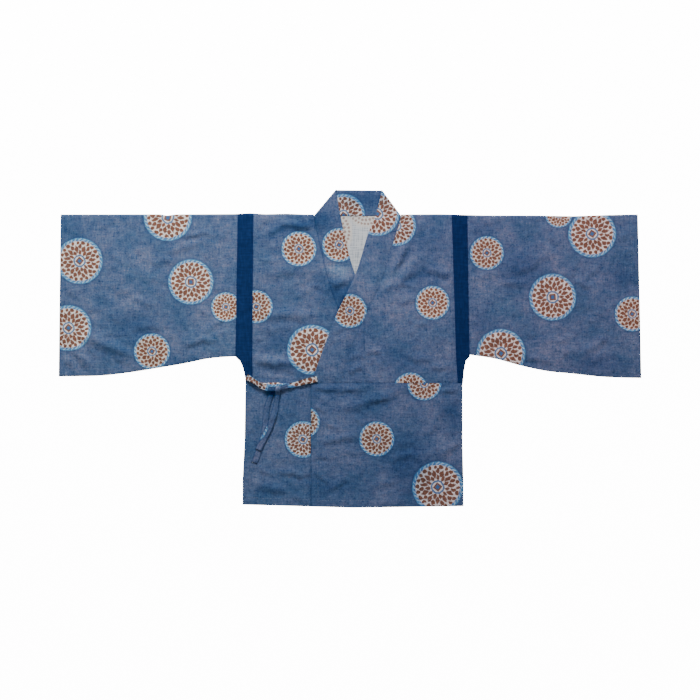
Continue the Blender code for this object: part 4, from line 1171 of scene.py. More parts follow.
def make_collar():
    """The whole collar, from its foot on the under front to its foot on the over front."""
    under_free, under_seam = (with_foot_rows(edge) for edge in UNDER_EDGES)
    over_free, over_seam = (with_foot_rows(edge) for edge in OVER_EDGES)
    under_seam[1:, 0] += INSET
    over_seam[1:, 0] -= INSET
    up = [rows[::-1] for rows in collar_front(under_free[1:], under_seam[1:], under_base)]
    first_turn = collar_turn(under_free[0], under_seam[0], -1, upward=False)
    last_turn = collar_turn(over_free[0], over_seam[0], 1, upward=True)
    neck = []
    for first, last in zip(first_turn, last_turn):
        shares = np.linspace(0, 1, NECK_ROWS)[1:-1, None, None]
        neck.append(first[-1] + (last[0] - first[-1]) * shares)
    down = collar_front(over_free[1:], over_seam[1:], over_base)
    outer, inner = (np.concatenate(parts) for parts in zip(up, first_turn, neck, last_turn, down))
    length, width = outer.shape[:2]
    half_turn = TURN_STEPS // 2
    part = np.zeros(length, int)
    part[len(up[0]) + half_turn:] = 1
    part[len(up[0]) + TURN_STEPS + len(neck[0]) + half_turn:] = 2
    parts = np.tile(np.repeat(part[:-1], width - 1), 2)
    from_seam = (1 - COLLAR_SHARES) * COLLAR_WIDTH
    # Painted shade along the collar's seam, and beside the over front on the collar's under front.
    edge = 1 - np.array(COLLAR_SEAM_SHADE)[part][:, None] * bell(from_seam, COLLAR_SEAM_LINE)
    edge = edge * np.where(part[:, None] == 0, shade_beside_over_front(outer[..., 0], outer[..., 1]), 1.0)
    cloth = strip("collar_cloth", outer, inner, outer[..., :2], printed("collar"), parts, edge)
    run = float(np.linalg.norm(np.diff(outer[:, width // 2], axis=0), axis=1).sum())
    wide = float(np.linalg.norm(np.diff(outer[:, :, :2], axis=1), axis=-1).sum(axis=1).mean())
    stand_in(cloth, "collar")
    return state_sheet(cloth, (wide, run), wide * run)


collar = make_collar()

# %% [markdown]
# The tie is a narrow strip of the same cloth, folded and sewn. Two taut stretches run from the side seam and
# from the front edge to a half knot, and two ends hang from it. Near the knot the strip is drawn together, so
# it narrows, thickens and folds lengthwise. A simulated cloth could be pulled tight, but it wouldn't come to
# lie where the photograph shows it, so each stretch follows a route read off the picture.

# %% Tie stretches and ends
TIE_WIDTH = 0.0145
TIE_CLEARANCE = 0.0003
TIE_SHELL = 0.0011
TIE_LIFT = 0.0012
TIE_SIDE_LIFT = 0.0036
TIE_ROW = 0.0022
TIE_COLUMNS = 15
TIE_EDGE = 0.0012
TIE_CROWN = 0.0003
TIE_PLEAT = 0.0007
TIE_EDGE_SHADE = 0.50
TIE_NARROWING = 0.22
TIE_THICKENING = 0.9
TIE_STIFF_ROWS = 5
Pleat = namedtuple("Pleat", "place breadth depth")
TIE_PLEATS = (Pleat(0.10, 0.07, 1.0), Pleat(-0.24, 0.06, 0.7))
TIE_SEAM = Pleat(-0.36, 0.035, 0.0003)
Draw = namedtuple("Draw", "slope start")
PLEAT_SWAY = Wave(0.16, 0.011, 0.0)
RIPPLE = Wave(0.0003, 0.0042, 1.0)
RIPPLE_ACROSS = 5.0
TIE_SIDE_ROUTE = (Spot(-0.2430, -0.3720), Spot(-0.2270, -0.3812), Spot(-0.2080, -0.3930))
TIE_FRONT_ROUTE = (
    Spot(-0.08, -0.3768), Spot(-0.105, -0.3822), Spot(-0.13, -0.3892), Spot(-0.1505, -0.394),
)
TAIL_LONG_ROUTE = (
    Spot(-0.1708, -0.4122), Spot(-0.1735, -0.426), Spot(-0.1769, -0.4474), Spot(-0.1829, -0.4669),
    Spot(-0.1902, -0.4888), Spot(-0.1973, -0.5032), Spot(-0.2075, -0.5221), Spot(-0.2165, -0.5405),
)
TAIL_SHORT_ROUTE = (
    Spot(-0.1863, -0.4122), Spot(-0.1953, -0.4405), Spot(-0.1985, -0.4646), Spot(-0.2003, -0.483),
    Spot(-0.2063, -0.5175), Spot(-0.2128, -0.5382), Spot(-0.2252, -0.5693),
)
TAIL_CROSSING = Spot(-0.2060, -0.5080)
TAIL_LIFTED = 0.0400
TAIL_DOWN = 0.0733
COLLAR_HOLD = 0.034
COLLAR_HOLD_RAMP = 0.022


def tie_bed(x, y):
    """The under front's top, with the clearance that the tie keeps over it."""
    return under_base(x, y) + CLOTH + TIE_CLEARANCE


def front_tie_bed(x, y):
    """As tie_bed, climbing onto the over front's collar at the end that is sewn there."""
    on_collar = eased((x - edge_x(OVER_EDGES[0], y) + COLLAR_HOLD) / COLLAR_HOLD_RAMP)
    return tie_bed(x, y) + (over_climb(x, y) + COLLAR_CLOTH - CLOTH + LAYER_GAP) * on_collar


def long_tail_bed(x, y):
    """As tie_bed, lifted over the short end where they cross."""
    lifted = eased((TAIL_DOWN - np.abs(y - TAIL_CROSSING.y)) / (TAIL_DOWN - TAIL_LIFTED))
    return tie_bed(x, y) + (TIE_SHELL + TIE_CROWN + LAYER_GAP) * lifted


def across_shares(columns):
    """Places across a ribbon, from -0.5 to 0.5 and close together at its edges."""
    return np.sin(np.linspace(-0.5, 0.5, columns) * math.pi) / 2


def tape(name, route, bed, draw, lift, roundels=()):
    """A stretch of the tie. draw says how the knot's pull grows or dies along its length."""
    middle = smooth(route, TIE_ROW)
    _, side, run = swept(middle)
    run = run[:, None]
    pull = eased(draw.slope * (run / run[-1]) + draw.start)
    u = across_shares(TIE_COLUMNS)
    width = TIE_WIDTH * (1 - TIE_NARROWING * pull)
    across = middle[:, None] + side[:, None] * (u * width)[..., None]
    x, y = across[..., 0], across[..., 1]
    height = (bed(x, y) + np.maximum(relief(x, y), 0)).max(axis=1)
    stiff = np.full(TIE_STIFF_ROWS, 1 / TIE_STIFF_ROWS)
    height = np.convolve(np.pad(height, TIE_STIFF_ROWS // 2, mode="edge"), stiff, mode="valid")[:, None]
    thick = TIE_SHELL * (1 + TIE_THICKENING * pull)
    from_end = np.minimum(run, run[-1] - run)
    from_side = (0.5 - np.abs(u)) * width
    rim = rounded(from_side / TIE_EDGE) * rounded(from_end / TIE_EDGE)
    middle_u = u - bent([PLEAT_SWAY], run)
    pleat = sum(fold.depth * bell(middle_u - fold.place, fold.breadth) for fold in TIE_PLEATS)
    seam = TIE_SEAM.depth * bell(u - TIE_SEAM.place, TIE_SEAM.breadth)
    ripple = bent([RIPPLE], run) * np.cos(u * RIPPLE_ACROSS)
    top = TIE_CROWN * (1 - 4 * u**2) - TIE_PLEAT * pleat * pull - seam + ripple
    level_z = height + lift * pull + thick / 2
    outer = np.dstack([across, level_z + (thick / 2 + top) * rim])
    inner = np.dstack([across, level_z - thick / 2 * rim])
    sheet = np.dstack(np.broadcast_arrays(run, u * TIE_WIDTH))
    # Painted shade: a dark outline along the tie's edges and ends.
    edge = 1 - TIE_EDGE_SHADE * bell(np.minimum(from_side, from_end), EDGE_SHADE_LINE)
    cloth = strip(name + "_cloth", outer, inner, sheet, roundels, edge=edge)
    length = float(run[-1, 0])
    stand_in(cloth, name)
    return state_sheet(cloth, (TIE_WIDTH, length), TIE_WIDTH * length)


tie = [
    tape("tie_side", TIE_SIDE_ROUTE, tie_bed, Draw(1.6, 0.1), TIE_SIDE_LIFT,
         [Roundel(0.012, 0.019, 0.0460, 0.3)]),
    tape("tie_front", TIE_FRONT_ROUTE, front_tie_bed, Draw(1.2, -0.2), TIE_LIFT,
         [Roundel(0.024, -0.043, 0.0640, 0.9)]),
    tape("tie_tail_short", TAIL_SHORT_ROUTE, tie_bed, Draw(-5, 1), TIE_LIFT / 2),
    tape("tie_tail_long", TAIL_LONG_ROUTE, long_tail_bed, Draw(-4, 1), TIE_LIFT,
         [Roundel(0.094, -0.0415, 0.0400, 0.2)]),
]

# %% [markdown]
# The half knot is the same strip, bundled. One stretch bridges from side to side, the other end wraps over it
# and drops away as the long end, and the short end comes out from underneath. One ribbon through the whole
# knot would be mostly hidden, so each part that shows is a swept ribbon with its own gathers, and together
# they are one piece of the tie.

# %% The knot
KNOT_COLUMNS = 17
KNOT_ROW = 0.0016
KNOT_BRIDGE_WIDTH = 0.0205
KNOT_ROUNDING = 0.8
KNOT_CROWN = 0.35
KNOT_PLEAT = 0.00091
KNOT_PLEAT_BREADTH = 0.055
KNOT_SPREAD = 1.5
KNOT_SWAY = 0.05
KNOT_SWAY_RUN = 0.006
KNOT_SWAY_START = 9
Bend = namedtuple("Bend", "x y lift width thick")
KNOT_BRIDGE = (
    Bend(-0.213, -0.3905, 0.0004, 0.0135, 0.0018), Bend(-0.204, -0.3935, 0.0026, 0.016, 0.0026),
    Bend(-0.1935, -0.3955, 0.0044, 0.0205, 0.003), Bend(-0.183, -0.3952, 0.0044, 0.02, 0.003),
    Bend(-0.17, -0.394, 0.003, 0.0165, 0.0032), Bend(-0.158, -0.394, 0.0012, 0.013, 0.003),
    Bend(-0.144, -0.3922, 0.0004, 0.0125, 0.002),
)
KNOT_WRAP = (
    Bend(-0.169, -0.39, 0.003, 0.0095, 0.0018), Bend(-0.1697, -0.3935, 0.006, 0.0105, 0.002),
    Bend(-0.1704, -0.3985, 0.0062, 0.0112, 0.0022), Bend(-0.171, -0.4035, 0.005, 0.0116, 0.0022),
    Bend(-0.1714, -0.4085, 0.0026, 0.012, 0.002), Bend(-0.1718, -0.4145, 0.0008, 0.0124, 0.0016),
)
KNOT_ROOT = (
    Bend(-0.1862, -0.404, 0.0001, 0.012, 0.001), Bend(-0.1868, -0.4085, 0.0001, 0.0125, 0.001),
    Bend(-0.1876, -0.4135, 0.0003, 0.013, 0.001),
)
KNOT_CORNER = (
    Bend(-0.16, -0.396, 0.0004, 0.007, 0.002), Bend(-0.1612, -0.4005, 0.0012, 0.0088, 0.0024),
    Bend(-0.164, -0.405, 0.0006, 0.007, 0.0018),
)
KNOT_PRINT = (Roundel(-0.022, 0.004, 0.0440, 0.2), Roundel(0.034, 0.046, 0.0460, 0.4))
Ribbon = namedtuple("Ribbon", "name route pleats roundels", defaults=((),))
KNOT_RIBBONS = (
    Ribbon("tie_knot_cloth", KNOT_BRIDGE, (-0.30, -0.06, 0.20), KNOT_PRINT),
    Ribbon("tie_knot_wrap", KNOT_WRAP, (-0.15, 0.22)),
    Ribbon("tie_knot_root", KNOT_ROOT, (0.05,)),
    Ribbon("tie_knot_corner", KNOT_CORNER, (-0.1,)),
)


def gathered(name, route, pleats, roundels):
    """A swept ribbon of the knot. pleats are the gathers' places across it, from -0.5 to 0.5."""
    flat = smooth(route, KNOT_ROW)
    shares = np.linspace(0, len(route) - 1, len(flat))
    known = np.arange(len(route))
    _, _, *shapes = zip(*route)
    lift, width, thick = (np.interp(shares, known, shape)[:, None] for shape in shapes)
    _, side, run = swept(flat)
    run = run[:, None]
    u = across_shares(KNOT_COLUMNS)
    across = flat[:, None] + side[:, None] * (u * width)[..., None]
    from_end = np.minimum(run, run[-1] - run)
    rim = rounded((0.5 - np.abs(u)) * width / (thick * KNOT_ROUNDING)) * rounded(from_end / TIE_EDGE)
    groove = 0.0
    for place in pleats:
        sway = KNOT_SWAY * np.sin(run / KNOT_SWAY_RUN + KNOT_SWAY_START * place)
        groove = groove + bell(u - place - sway, KNOT_PLEAT_BREADTH)
    crown = thick * KNOT_CROWN * (1 - 4 * u**2)
    top = (thick / 2 + crown - KNOT_PLEAT * groove) * rim
    middle = tie_bed(flat[:, 0], flat[:, 1])[:, None] + lift + thick / 2
    outer = np.dstack([across, middle + top])
    inner = np.dstack([across, np.broadcast_to(middle - thick / 2 * rim * KNOT_ROUNDING, across.shape[:2])])
    sheet = np.dstack(np.broadcast_arrays(run, u * TIE_WIDTH * KNOT_SPREAD))
    return strip(name, outer, inner, sheet, roundels)


def make_knot():
    """The knot's ribbons. The first, the bridge, speaks for them all."""
    bridge, *others = ribbons = [gathered(*ribbon) for ribbon in KNOT_RIBBONS]
    for ribbon in ribbons:
        stand_in(ribbon, "tie_knot")
    wide, run = KNOT_BRIDGE_WIDTH, KNOT_BRIDGE[-1].x - KNOT_BRIDGE[0].x
    state_sheet(bridge, (wide, run), wide * run)
    return ribbons


knot = make_knot()

# %% [markdown]
# Hems are held by hand stitches that show as small dashes. They could be painted, but a thread throws its
# own small shadow. So each is a short tube that dives in and out, with its ends sunk below the cloth. It sits
# on the hem's own surface, found by casting a ray straight down.

# %% Stitches
STITCH_LENGTH = 0.0034
STITCH_PITCH = 0.0062
STITCH_RADIUS = 0.00016
STITCH_SIDES = 5
STITCH_IN = 0.0165
STITCH_SEED = 5
STITCH_STRAY = 0.00025
STITCH_UNEVEN = (0.85, 1.1)
STITCH_STEPS = (-0.5, -0.3, 0.0, 0.3, 0.5)
STITCH_TOP = 1.1
STITCH_DIVE = 9.0
ABOVE = 0.1


def stitch_line(points):
    """Places along a sewn line, with a little unevenness in each stitch."""
    draw = np.random.default_rng(STITCH_SEED)
    fine = smooth(points, STITCH_PITCH)
    ahead, side, _ = swept(fine)
    fine = fine + side * draw.normal(0, STITCH_STRAY, (len(fine), 1))
    return fine, ahead * draw.uniform(*STITCH_UNEVEN, (len(fine), 1))


def stitch_faces(start):
    """A stitch's tube of faces and its two ends, from its first point's number."""
    faces = []
    for low in range(start, start + STITCH_SIDES * (len(STITCH_STEPS) - 1), STITCH_SIDES):
        for k in range(STITCH_SIDES):
            after, high = (k + 1) % STITCH_SIDES, low + STITCH_SIDES
            faces.append([low + k, low + after, high + after, high + k])
    last = start + STITCH_SIDES * (len(STITCH_STEPS) - 1)
    faces.append([start + k for k in range(STITCH_SIDES)][::-1])
    faces.append([last + k for k in range(STITCH_SIDES)])
    return faces


def make_stitches(name, cloth, rows):
    """Threads along the given lines on a piece of cloth, as one mesh."""
    points, faces = [], []
    for row in rows:
        for spot, ahead in zip(*stitch_line(row)):
            hit, place, _, _ = cloth.ray_cast((spot[0] - ORIGIN.x, spot[1] - ORIGIN.y, ABOVE), (0, 0, -1))
            if not hit:
                continue
            faces += stitch_faces(len(points))
            side = np.array((-ahead[1], ahead[0], 0)) / np.linalg.norm(ahead)
            for step in STITCH_STEPS:
                rise = STITCH_RADIUS * (STITCH_TOP - STITCH_DIVE * step**2)
                centre = np.array((*(place[:2] + ahead * STITCH_LENGTH * step), place[2] + rise))
                for turn in np.arange(STITCH_SIDES) * math.tau / STITCH_SIDES:
                    points.append(centre + STITCH_RADIUS * (side * math.cos(turn) + (0, 0, math.sin(turn))))
    mesh = bpy.data.meshes.new(name)
    mesh.from_pydata([tuple(point) for point in points], [], faces)
    mesh.shade_smooth()
    thread = bpy.data.objects.new(name, mesh)
    bpy.context.scene.collection.objects.link(thread)
    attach(thread, "root")
    return thread


print("points in a stitch:", STITCH_SIDES * len(STITCH_STEPS), "from stitch to stitch:", STITCH_PITCH)

# %% [markdown]
# Now the cloth's look. A material here is a formula over three attributes, and formulas read best as
# arithmetic. So a small class wraps each node's output: adding or multiplying two of them adds the Math node.

# %% Shader arithmetic
class Wire:
    """One output of a node. Arithmetic on it makes Math nodes."""

    def __init__(self, finish, socket):
        self.finish = finish
        self.socket = socket

    def math(self, operation, first, second=0.0):
        return self.finish.node("Math", {0: first, 1: second}, operation=operation)

    def __abs__(self):
        return self.math("ABSOLUTE", self)

    def fraction(self):
        return self.math("FRACT", self)

    def sine(self):
        return self.math("SINE", self)

    def largest(self, other):
        return self.math("MAXIMUM", self, other)

    def step(self, low, high):
        """0 at low and 1 at high, eased between. low may be the larger."""
        sockets = {"Value": self, "From Min": low, "From Max": high}
        return self.finish.node("MapRange", sockets, interpolation_type="SMOOTHSTEP")


def operator(operation, reflected=False):
    """The method for one sign of arithmetic, reflected where the node stands on the sign's right."""
    def apply(self, other):
        first, second = (other, self) if reflected else (self, other)
        return self.math(operation, first, second)
    return apply


SIGNS = {"add": "ADD", "sub": "SUBTRACT", "mul": "MULTIPLY", "truediv": "DIVIDE", "pow": "POWER"}
for sign, operation in SIGNS.items():
    setattr(Wire, f"__{sign}__", operator(operation))
    setattr(Wire, f"__r{sign}__", operator(operation, reflected=True))
print("signs that work on a node's output:", list(SIGNS))

# %% [markdown]
# Around the wires goes a finish: one material and its surface. Nodes could be added one by one, each with its
# own lines, but a finish makes them all by one method. So a formula for the cloth stays about as long as it
# is in words.

# %% A finish
class Finish:
    """A material that is built up as formulas."""

    def __init__(self, name, **sockets):
        self.material = bpy.data.materials.new(name)
        self.material.use_nodes = True
        self.tree = self.material.node_tree
        self.shader = self.tree.nodes["Principled BSDF"]
        self.set(**sockets)

    def plug(self, socket, value):
        if isinstance(value, Wire):
            self.tree.links.new(value.socket, socket)
        elif isinstance(value, tuple) and len(value) == 3 and socket.type == "RGBA":
            socket.default_value = (*value, 1.0)
        else:
            socket.default_value = value

    def set(self, **sockets):
        """Inputs of the surface, such as base_color."""
        for name, value in sockets.items():
            self.plug(self.shader.inputs[name.replace("_", " ").title().replace("Ior", "IOR")], value)

    def node(self, kind, inputs, output=0, stops=(), **settings):
        """Any node: its settings, its inputs by name or number, and the output that is wanted."""
        made = self.tree.nodes.new("ShaderNode" + kind)
        for name, value in settings.items():
            setattr(made, name, value)
        if stops:
            ramp = made.color_ramp
            ramp.elements[0].position, ramp.elements[1].position = stops[0][0], stops[-1][0]
            for place, _ in stops[1:-1]:
                ramp.elements.new(place)
            for element, (_, colour) in zip(ramp.elements, stops):
                element.color = (*colour, 1.0)
        for name, value in inputs.items():
            self.plug(made.inputs[name], value)
        return Wire(self, made.outputs[output])

    def attribute(self, name):
        """An attribute's three parts."""
        vector = self.node("Attribute", {}, "Vector", attribute_name=name)
        return (vector, *(self.node("SeparateXYZ", {0: vector}, part) for part in range(3)))

    def place(self):
        """The place on the sheet as a flat vector, its two parts, and the shade that rides as a third."""
        sheet, x, v, shade = self.attribute("sheet")
        return self.scaled(sheet, (1.0, 1.0, 0.0)), x, v, shade

    def vector(self, x, y, z=0.0):
        return self.node("CombineXYZ", {0: x, 1: y, 2: z})

    def scaled(self, vector, factors):
        return self.node("VectorMath", {0: vector, 1: factors}, operation="MULTIPLY")

    def noise(self, vector, scale, detail=2.0, roughness=0.5):
        inputs = {"Vector": vector, "Scale": scale, "Detail": detail, "Roughness": roughness}
        return self.node("TexNoise", inputs)

    def mix(self, share, first, second, how="MIX"):
        """Colours blended by share."""
        return self.node("Mix", {0: share, 6: first, 7: second}, 2, data_type="RGBA", blend_type=how)

    def bump(self, height, distance, strength, over=None):
        """A relief, on top of another one where that is given."""
        inputs = {"Height": height, "Distance": distance, "Strength": strength}
        return self.node("Bump", inputs if over is None else {**inputs, "Normal": over})


print("a finish offers:", [name for name in vars(Finish) if not name.startswith("_")])

# %% [markdown]
# The ground is a slubby blue: broad patches lean to teal or violet, thick threads run as short light streaks
# both ways, and a few pinkish flecks are spun in. A photograph of cloth would repeat and show its edges, so
# each of these is a noise of its own scale, stretched along the thread where it is a streak.

# %% The blue ground
TEAL = (0.056, 0.106, 0.224)
BLUE = (0.082, 0.123, 0.246)
VIOLET = (0.114, 0.146, 0.268)
FLECK = (0.300, 0.230, 0.300)
INK = (0.012, 0.040, 0.118)
PATCH_SCALE = 12.0
PATCH_STOPS = ((0.36, TEAL), (0.50, BLUE), (0.64, VIOLET))
BLOTCH_SCALE = 66.0
BLOTCH_TONE = 1.05
STREAK_TONE = 0.95
SLUB_SHARE = 0.80
GRAIN_SHARE = 1.6
SLUB_LENGTH = 0.027
SLUB_BREADTH = 0.0040
GRAIN_SCALE = 270.0
HUE_SCALE = 75.0
HUE_SHARE = 0.65
HUE_PLACE = (-1.0, 1.0, 0.0)
DARK_STREAK = (-0.22, -0.60)
DARK_SHARE = 0.32
FLECK_SCALE = 300.0
FLECK_SIZE = (0.58, 0.72)
FLECK_PLACE = (0.02, 0.30)
FLECK_SHARE = 0.45
Channel = namedtuple("Channel", "by_tone by_hue")
RED, GREEN, BLUE_PART = Channel(1.50, 0.75), Channel(1.00, -0.16), Channel(0.62, -0.25)
THREAD = 0.00085
LEAN = 0.26
LEAN_REACH = 0.50


def slubs(finish, sheet, length=SLUB_LENGTH, breadth=SLUB_BREADTH):
    """Short streaks of thicker thread in both directions, each about 0 and within 0.5."""
    sizes = ((1 / length, 1 / breadth, 1.0), (1 / breadth, 1 / length, 1.0))
    return [finish.noise(finish.scaled(sheet, size), scale=1.0, roughness=0.6) - 0.5 for size in sizes]


def weave(x, v):
    """The over and under of single threads."""
    turns = math.tau / THREAD
    return (x * turns).sine() * (v * turns).sine()


def toned(cloth, colour, tone, hue=0.0):
    """A blue made lighter or darker by tone, about 0. Dark places turn bluer, as indigo does."""
    shares = [1.0 + part.by_tone * tone + part.by_hue * hue for part in (RED, GREEN, BLUE_PART)]
    return cloth.mix(1.0, colour, cloth.vector(*shares), "MULTIPLY")


def ground_colour(cloth, sheet):
    """The blue ground, and its slubs across and along, which the relief needs too."""
    patches = cloth.noise(sheet, PATCH_SCALE)
    ground = cloth.node("ValToRGB", {0: patches}, stops=PATCH_STOPS)
    blotches = cloth.noise(sheet, BLOTCH_SCALE, detail=3.0, roughness=0.6) - 0.5
    across, along = slubs(cloth, sheet)
    grain = cloth.noise(sheet, GRAIN_SCALE, roughness=0.7) - 0.5
    streaks = across * SLUB_SHARE + along * SLUB_SHARE + grain * GRAIN_SHARE
    hue = cloth.noise(cloth.scaled(sheet, HUE_PLACE), HUE_SCALE, detail=3.0, roughness=0.7) - 0.5
    ground = toned(cloth, ground, BLOTCH_TONE * blotches + STREAK_TONE * streaks, hue * HUE_SHARE)
    ground = cloth.mix((streaks + blotches).step(*DARK_STREAK) * DARK_SHARE, ground, INK)
    fleck = cloth.noise(sheet, FLECK_SCALE, detail=1.0).step(*FLECK_SIZE)
    fleck = fleck * (across + along + blotches).step(*FLECK_PLACE)
    return cloth.mix(fleck * FLECK_SHARE, ground, FLECK), across, along


print("threads in a centimetre:", round(0.01 / THREAD, 1))

# %% [markdown]
# The roundel is drawn ring by ring from its centre, where its radius is 0, to its rim at 1: a small square,
# rings of drops that count evenly round, a cream field and a dashed pale rim. The counts and spacing are our
# own; only the colours and the scale follow the photograph. A ring is a row: how often the roundel's count of
# drops it has, how far out they lie, half their size outwards and round, a shift, and how pointed they are.
# An edge is a pair, from where a part is missing to where it is whole.

# %% The roundel
HALO = (0.030, 0.072, 0.190)
SKY = (0.130, 0.400, 0.700)
RIM = (0.075, 0.210, 0.480)
RING_BLUE = (0.040, 0.150, 0.360)
CREAM = (0.970, 0.830, 0.785)
WARM_CREAM = (0.880, 0.700, 0.610)
BROWN = (0.130, 0.036, 0.013)
LIGHT_BROWN = (0.230, 0.066, 0.024)
DUSK = (0.060, 0.150, 0.340)
DASH = (0.400, 0.590, 0.780)
PALE_DASH = (0.560, 0.700, 0.820)
Ring = namedtuple("Ring", "times middle half_out half_round phase corner")
RINGS = (
    Ring(2, 0.842, 0.084, 0.082, 0.0, 1.8),
    Ring(1, 0.565, 0.178, 0.098, 0.5, 1.3),
    Ring(1, 0.675, 0.120, 0.086, 0.0, 1.5),
    Ring(1, 0.400, 0.124, 0.076, 0.0, 1.3),
)
RIM_DASHES = Ring(1, 0.985, 0.055, 1.0, 0.0, 2.0)
DROP_EDGE = (1.25, 0.80)
DROP_COUNT, FEWER_DROPS, WIDER_DROPS = 11, 2, 0.16
DASH_COUNT, FEWER_DASHES, DASH_WIDTH, WIDER_DASHES, DASH_SLANT = 32, 8, 0.044, 0.014, 1.2
HALO_EDGE, HALO_SHARE = (1.22, 1.04), 0.70
RIM_EDGE, RIM_SHARE = (1.05, 1.00), 0.90
LINE_AT, LINE_EDGE, LINE_SHARE = 1.03, (0.048, 0.020), 0.60
FIELD_EDGE, PRINT_SHARE = (0.945, 0.905), 0.95
CENTRE_RING_AT, CENTRE_RING_EDGE, CENTRE_RING_SHARE = 0.250, (0.046, 0.024), 0.92
SQUARE_EDGE, HEART_EDGE = (0.21, 0.17), (0.115, 0.085)
WORN_EDGE, WORN_AT, WORN_SHARE = (1.08, 1.02), (0.50, 0.72), 0.22
WORN_SCALE = 300.0
BEND_SCALE, BEND = 4.5, 0.24
SHRINK, BULGE, BULGE_PLACE = 1.07, 0.08, (-1.0, 1.0, 5.0)
RAGGED_SCALE, RAGGED_LINE, RAGGED_BROWN = 15.0, (0.22, 0.48), (0.35, 0.65)
ROUGH_SCALE, ROUGH, DASH_ROUGH = 9.0, 1.2, 0.7


def drops(polar, ring, count=1, wide=1.0, rough=0.0):
    """A ring of small marks that are evenly spaced round the roundel: 1 inside them, 0 outside."""
    radius, angle = polar
    count = count * ring.times
    round_it = (angle * (count / math.tau) + ring.phase).fraction() - 0.5
    sideways = abs(round_it * radius * (math.tau / count)) / (wide * ring.half_round)
    out = abs(radius - ring.middle) / ring.half_out
    return (sideways**ring.corner + out**ring.corner + rough).step(*DROP_EDGE)


def polar_of(cloth, u, w):
    """Distance from a roundel's centre, and the angle round it."""
    return (u * u + w * w) ** 0.5, cloth.node("Math", {0: w, 1: u}, operation="ARCTAN2")


def roundel_colour(cloth, ground, worn):
    """The ground with a roundel printed on it."""
    _, u, w, warm = cloth.attribute("roundel")
    place = cloth.vector(u, w, warm)
    bend = cloth.noise(place, BEND_SCALE) - 0.5
    bulge = cloth.noise(cloth.scaled(place, BULGE_PLACE), BEND_SCALE) - 0.5
    radius, angle = polar_of(cloth, u, w)
    radius, angle = radius * SHRINK + bulge * BULGE, angle + bend * BEND
    ragged = cloth.noise(place, RAGGED_SCALE)
    rough = (cloth.noise(place, ROUGH_SCALE, detail=1.0) - 0.5) * ROUGH
    printed = cloth.mix(radius.step(*HALO_EDGE) * HALO_SHARE, ground, HALO)
    printed = cloth.mix(radius.step(*RIM_EDGE) * RIM_SHARE, printed, RIM)
    line = abs(radius - LINE_AT).step(*LINE_EDGE) * ragged.step(*RAGGED_LINE)
    printed = cloth.mix(line * LINE_SHARE, printed, SKY)
    slanted = radius, angle + radius * DASH_SLANT
    dash_count, dash_wide = DASH_COUNT - FEWER_DASHES * warm, DASH_WIDTH + WIDER_DASHES * warm
    dashes = drops(slanted, RIM_DASHES, dash_count, dash_wide, rough * DASH_ROUGH)
    printed = cloth.mix(dashes * PRINT_SHARE, printed, cloth.mix(warm, DASH, PALE_DASH))
    field = radius.step(*FIELD_EDGE)
    printed = cloth.mix(field * PRINT_SHARE, printed, cloth.mix(warm, CREAM, WARM_CREAM))
    from_square = abs(u) + abs(w)
    marks = from_square.step(*SQUARE_EDGE)
    count, wide = DROP_COUNT - FEWER_DROPS * warm, 1.0 + WIDER_DROPS * warm
    for ring in RINGS:
        marks = marks.largest(drops((radius, angle), ring, count, wide, rough))
    brown = cloth.mix(ragged.step(*RAGGED_BROWN), BROWN, LIGHT_BROWN)
    printed = cloth.mix(marks * PRINT_SHARE, printed, brown)
    centre_ring = abs(radius - CENTRE_RING_AT).step(*CENTRE_RING_EDGE)
    printed = cloth.mix(centre_ring * CENTRE_RING_SHARE, printed, RING_BLUE)
    printed = cloth.mix(from_square.step(*HEART_EDGE), printed, DUSK)
    rubbed = radius.step(*WORN_EDGE) * worn.step(*WORN_AT) * WORN_SHARE
    return cloth.mix(rubbed, printed, ground)


print("drops in a large roundel:", DROP_COUNT * sum(ring.times for ring in RINGS))

# %% [markdown]
# The printed cloth puts the two together and tones them by the shade that the sheet attribute carries. Its
# relief has two scales, because light falls on both: single threads with the groove that the hem's stitches
# pull, over a soft crumple. Linen is matt, so the surface is rough and shines little.

# %% Printed cloth
GROOVE_BREADTH = 0.0022
GROOVE_DEPTH = 1.5
WEAVE_SHARE = 0.5
SLUB_RISE = 0.9
CRUMPLE_SCALE = 95.0
BROAD_SCALE, BROAD_SHARE = 38.0, 0.5
PRINTED_SURFACE = {"roughness": 0.88, "sheen_weight": 0.03, "sheen_roughness": 0.5, "specular_ior_level": 0.2}
THREAD_RELIEF = (0.00016, 0.75)
CRUMPLE_RELIEF = (0.0022, 0.55)


def make_printed():
    cloth = Finish("printed cloth", **PRINTED_SURFACE)
    sheet, x, v, shade = cloth.place()
    ground, across, along = ground_colour(cloth, sheet)
    worn = cloth.noise(sheet, WORN_SCALE, detail=3.0, roughness=0.7)
    lean = x.step(-LEAN_REACH, LEAN_REACH) - 0.5
    # The shade attribute tones print and ground: dye, painted shade and painted highlight.
    colour = toned(cloth, roundel_colour(cloth, ground, worn), shade - 1.0, lean * LEAN)
    hem = cloth.attribute("hem")[1]
    groove = abs(hem - STITCH_IN).step(GROOVE_BREADTH, 0.0)
    threads = weave(x, v) * WEAVE_SHARE + across * SLUB_RISE + along * SLUB_RISE
    broad = BROAD_SHARE * cloth.noise(sheet, BROAD_SCALE)
    crumple = cloth.noise(sheet, CRUMPLE_SCALE, detail=3.0, roughness=0.55) + broad
    fine = cloth.bump(threads - groove * GROOVE_DEPTH, *THREAD_RELIEF)
    cloth.set(base_color=colour, normal=cloth.bump(crumple, *CRUMPLE_RELIEF, over=fine))
    return cloth.material


printed_cloth = make_printed()
print(printed_cloth.name, "nodes:", len(printed_cloth.node_tree.nodes))

# %% [markdown]
# The wrong side is what shows inside the neck: pale, with the threads plainer and the print only a ghost. It
# could be the printed cloth made lighter, but there the drops read as faint dots alone, so it has rings of
# its own. The navy strips are a plain dense cotton, and the thread is a pale twist.

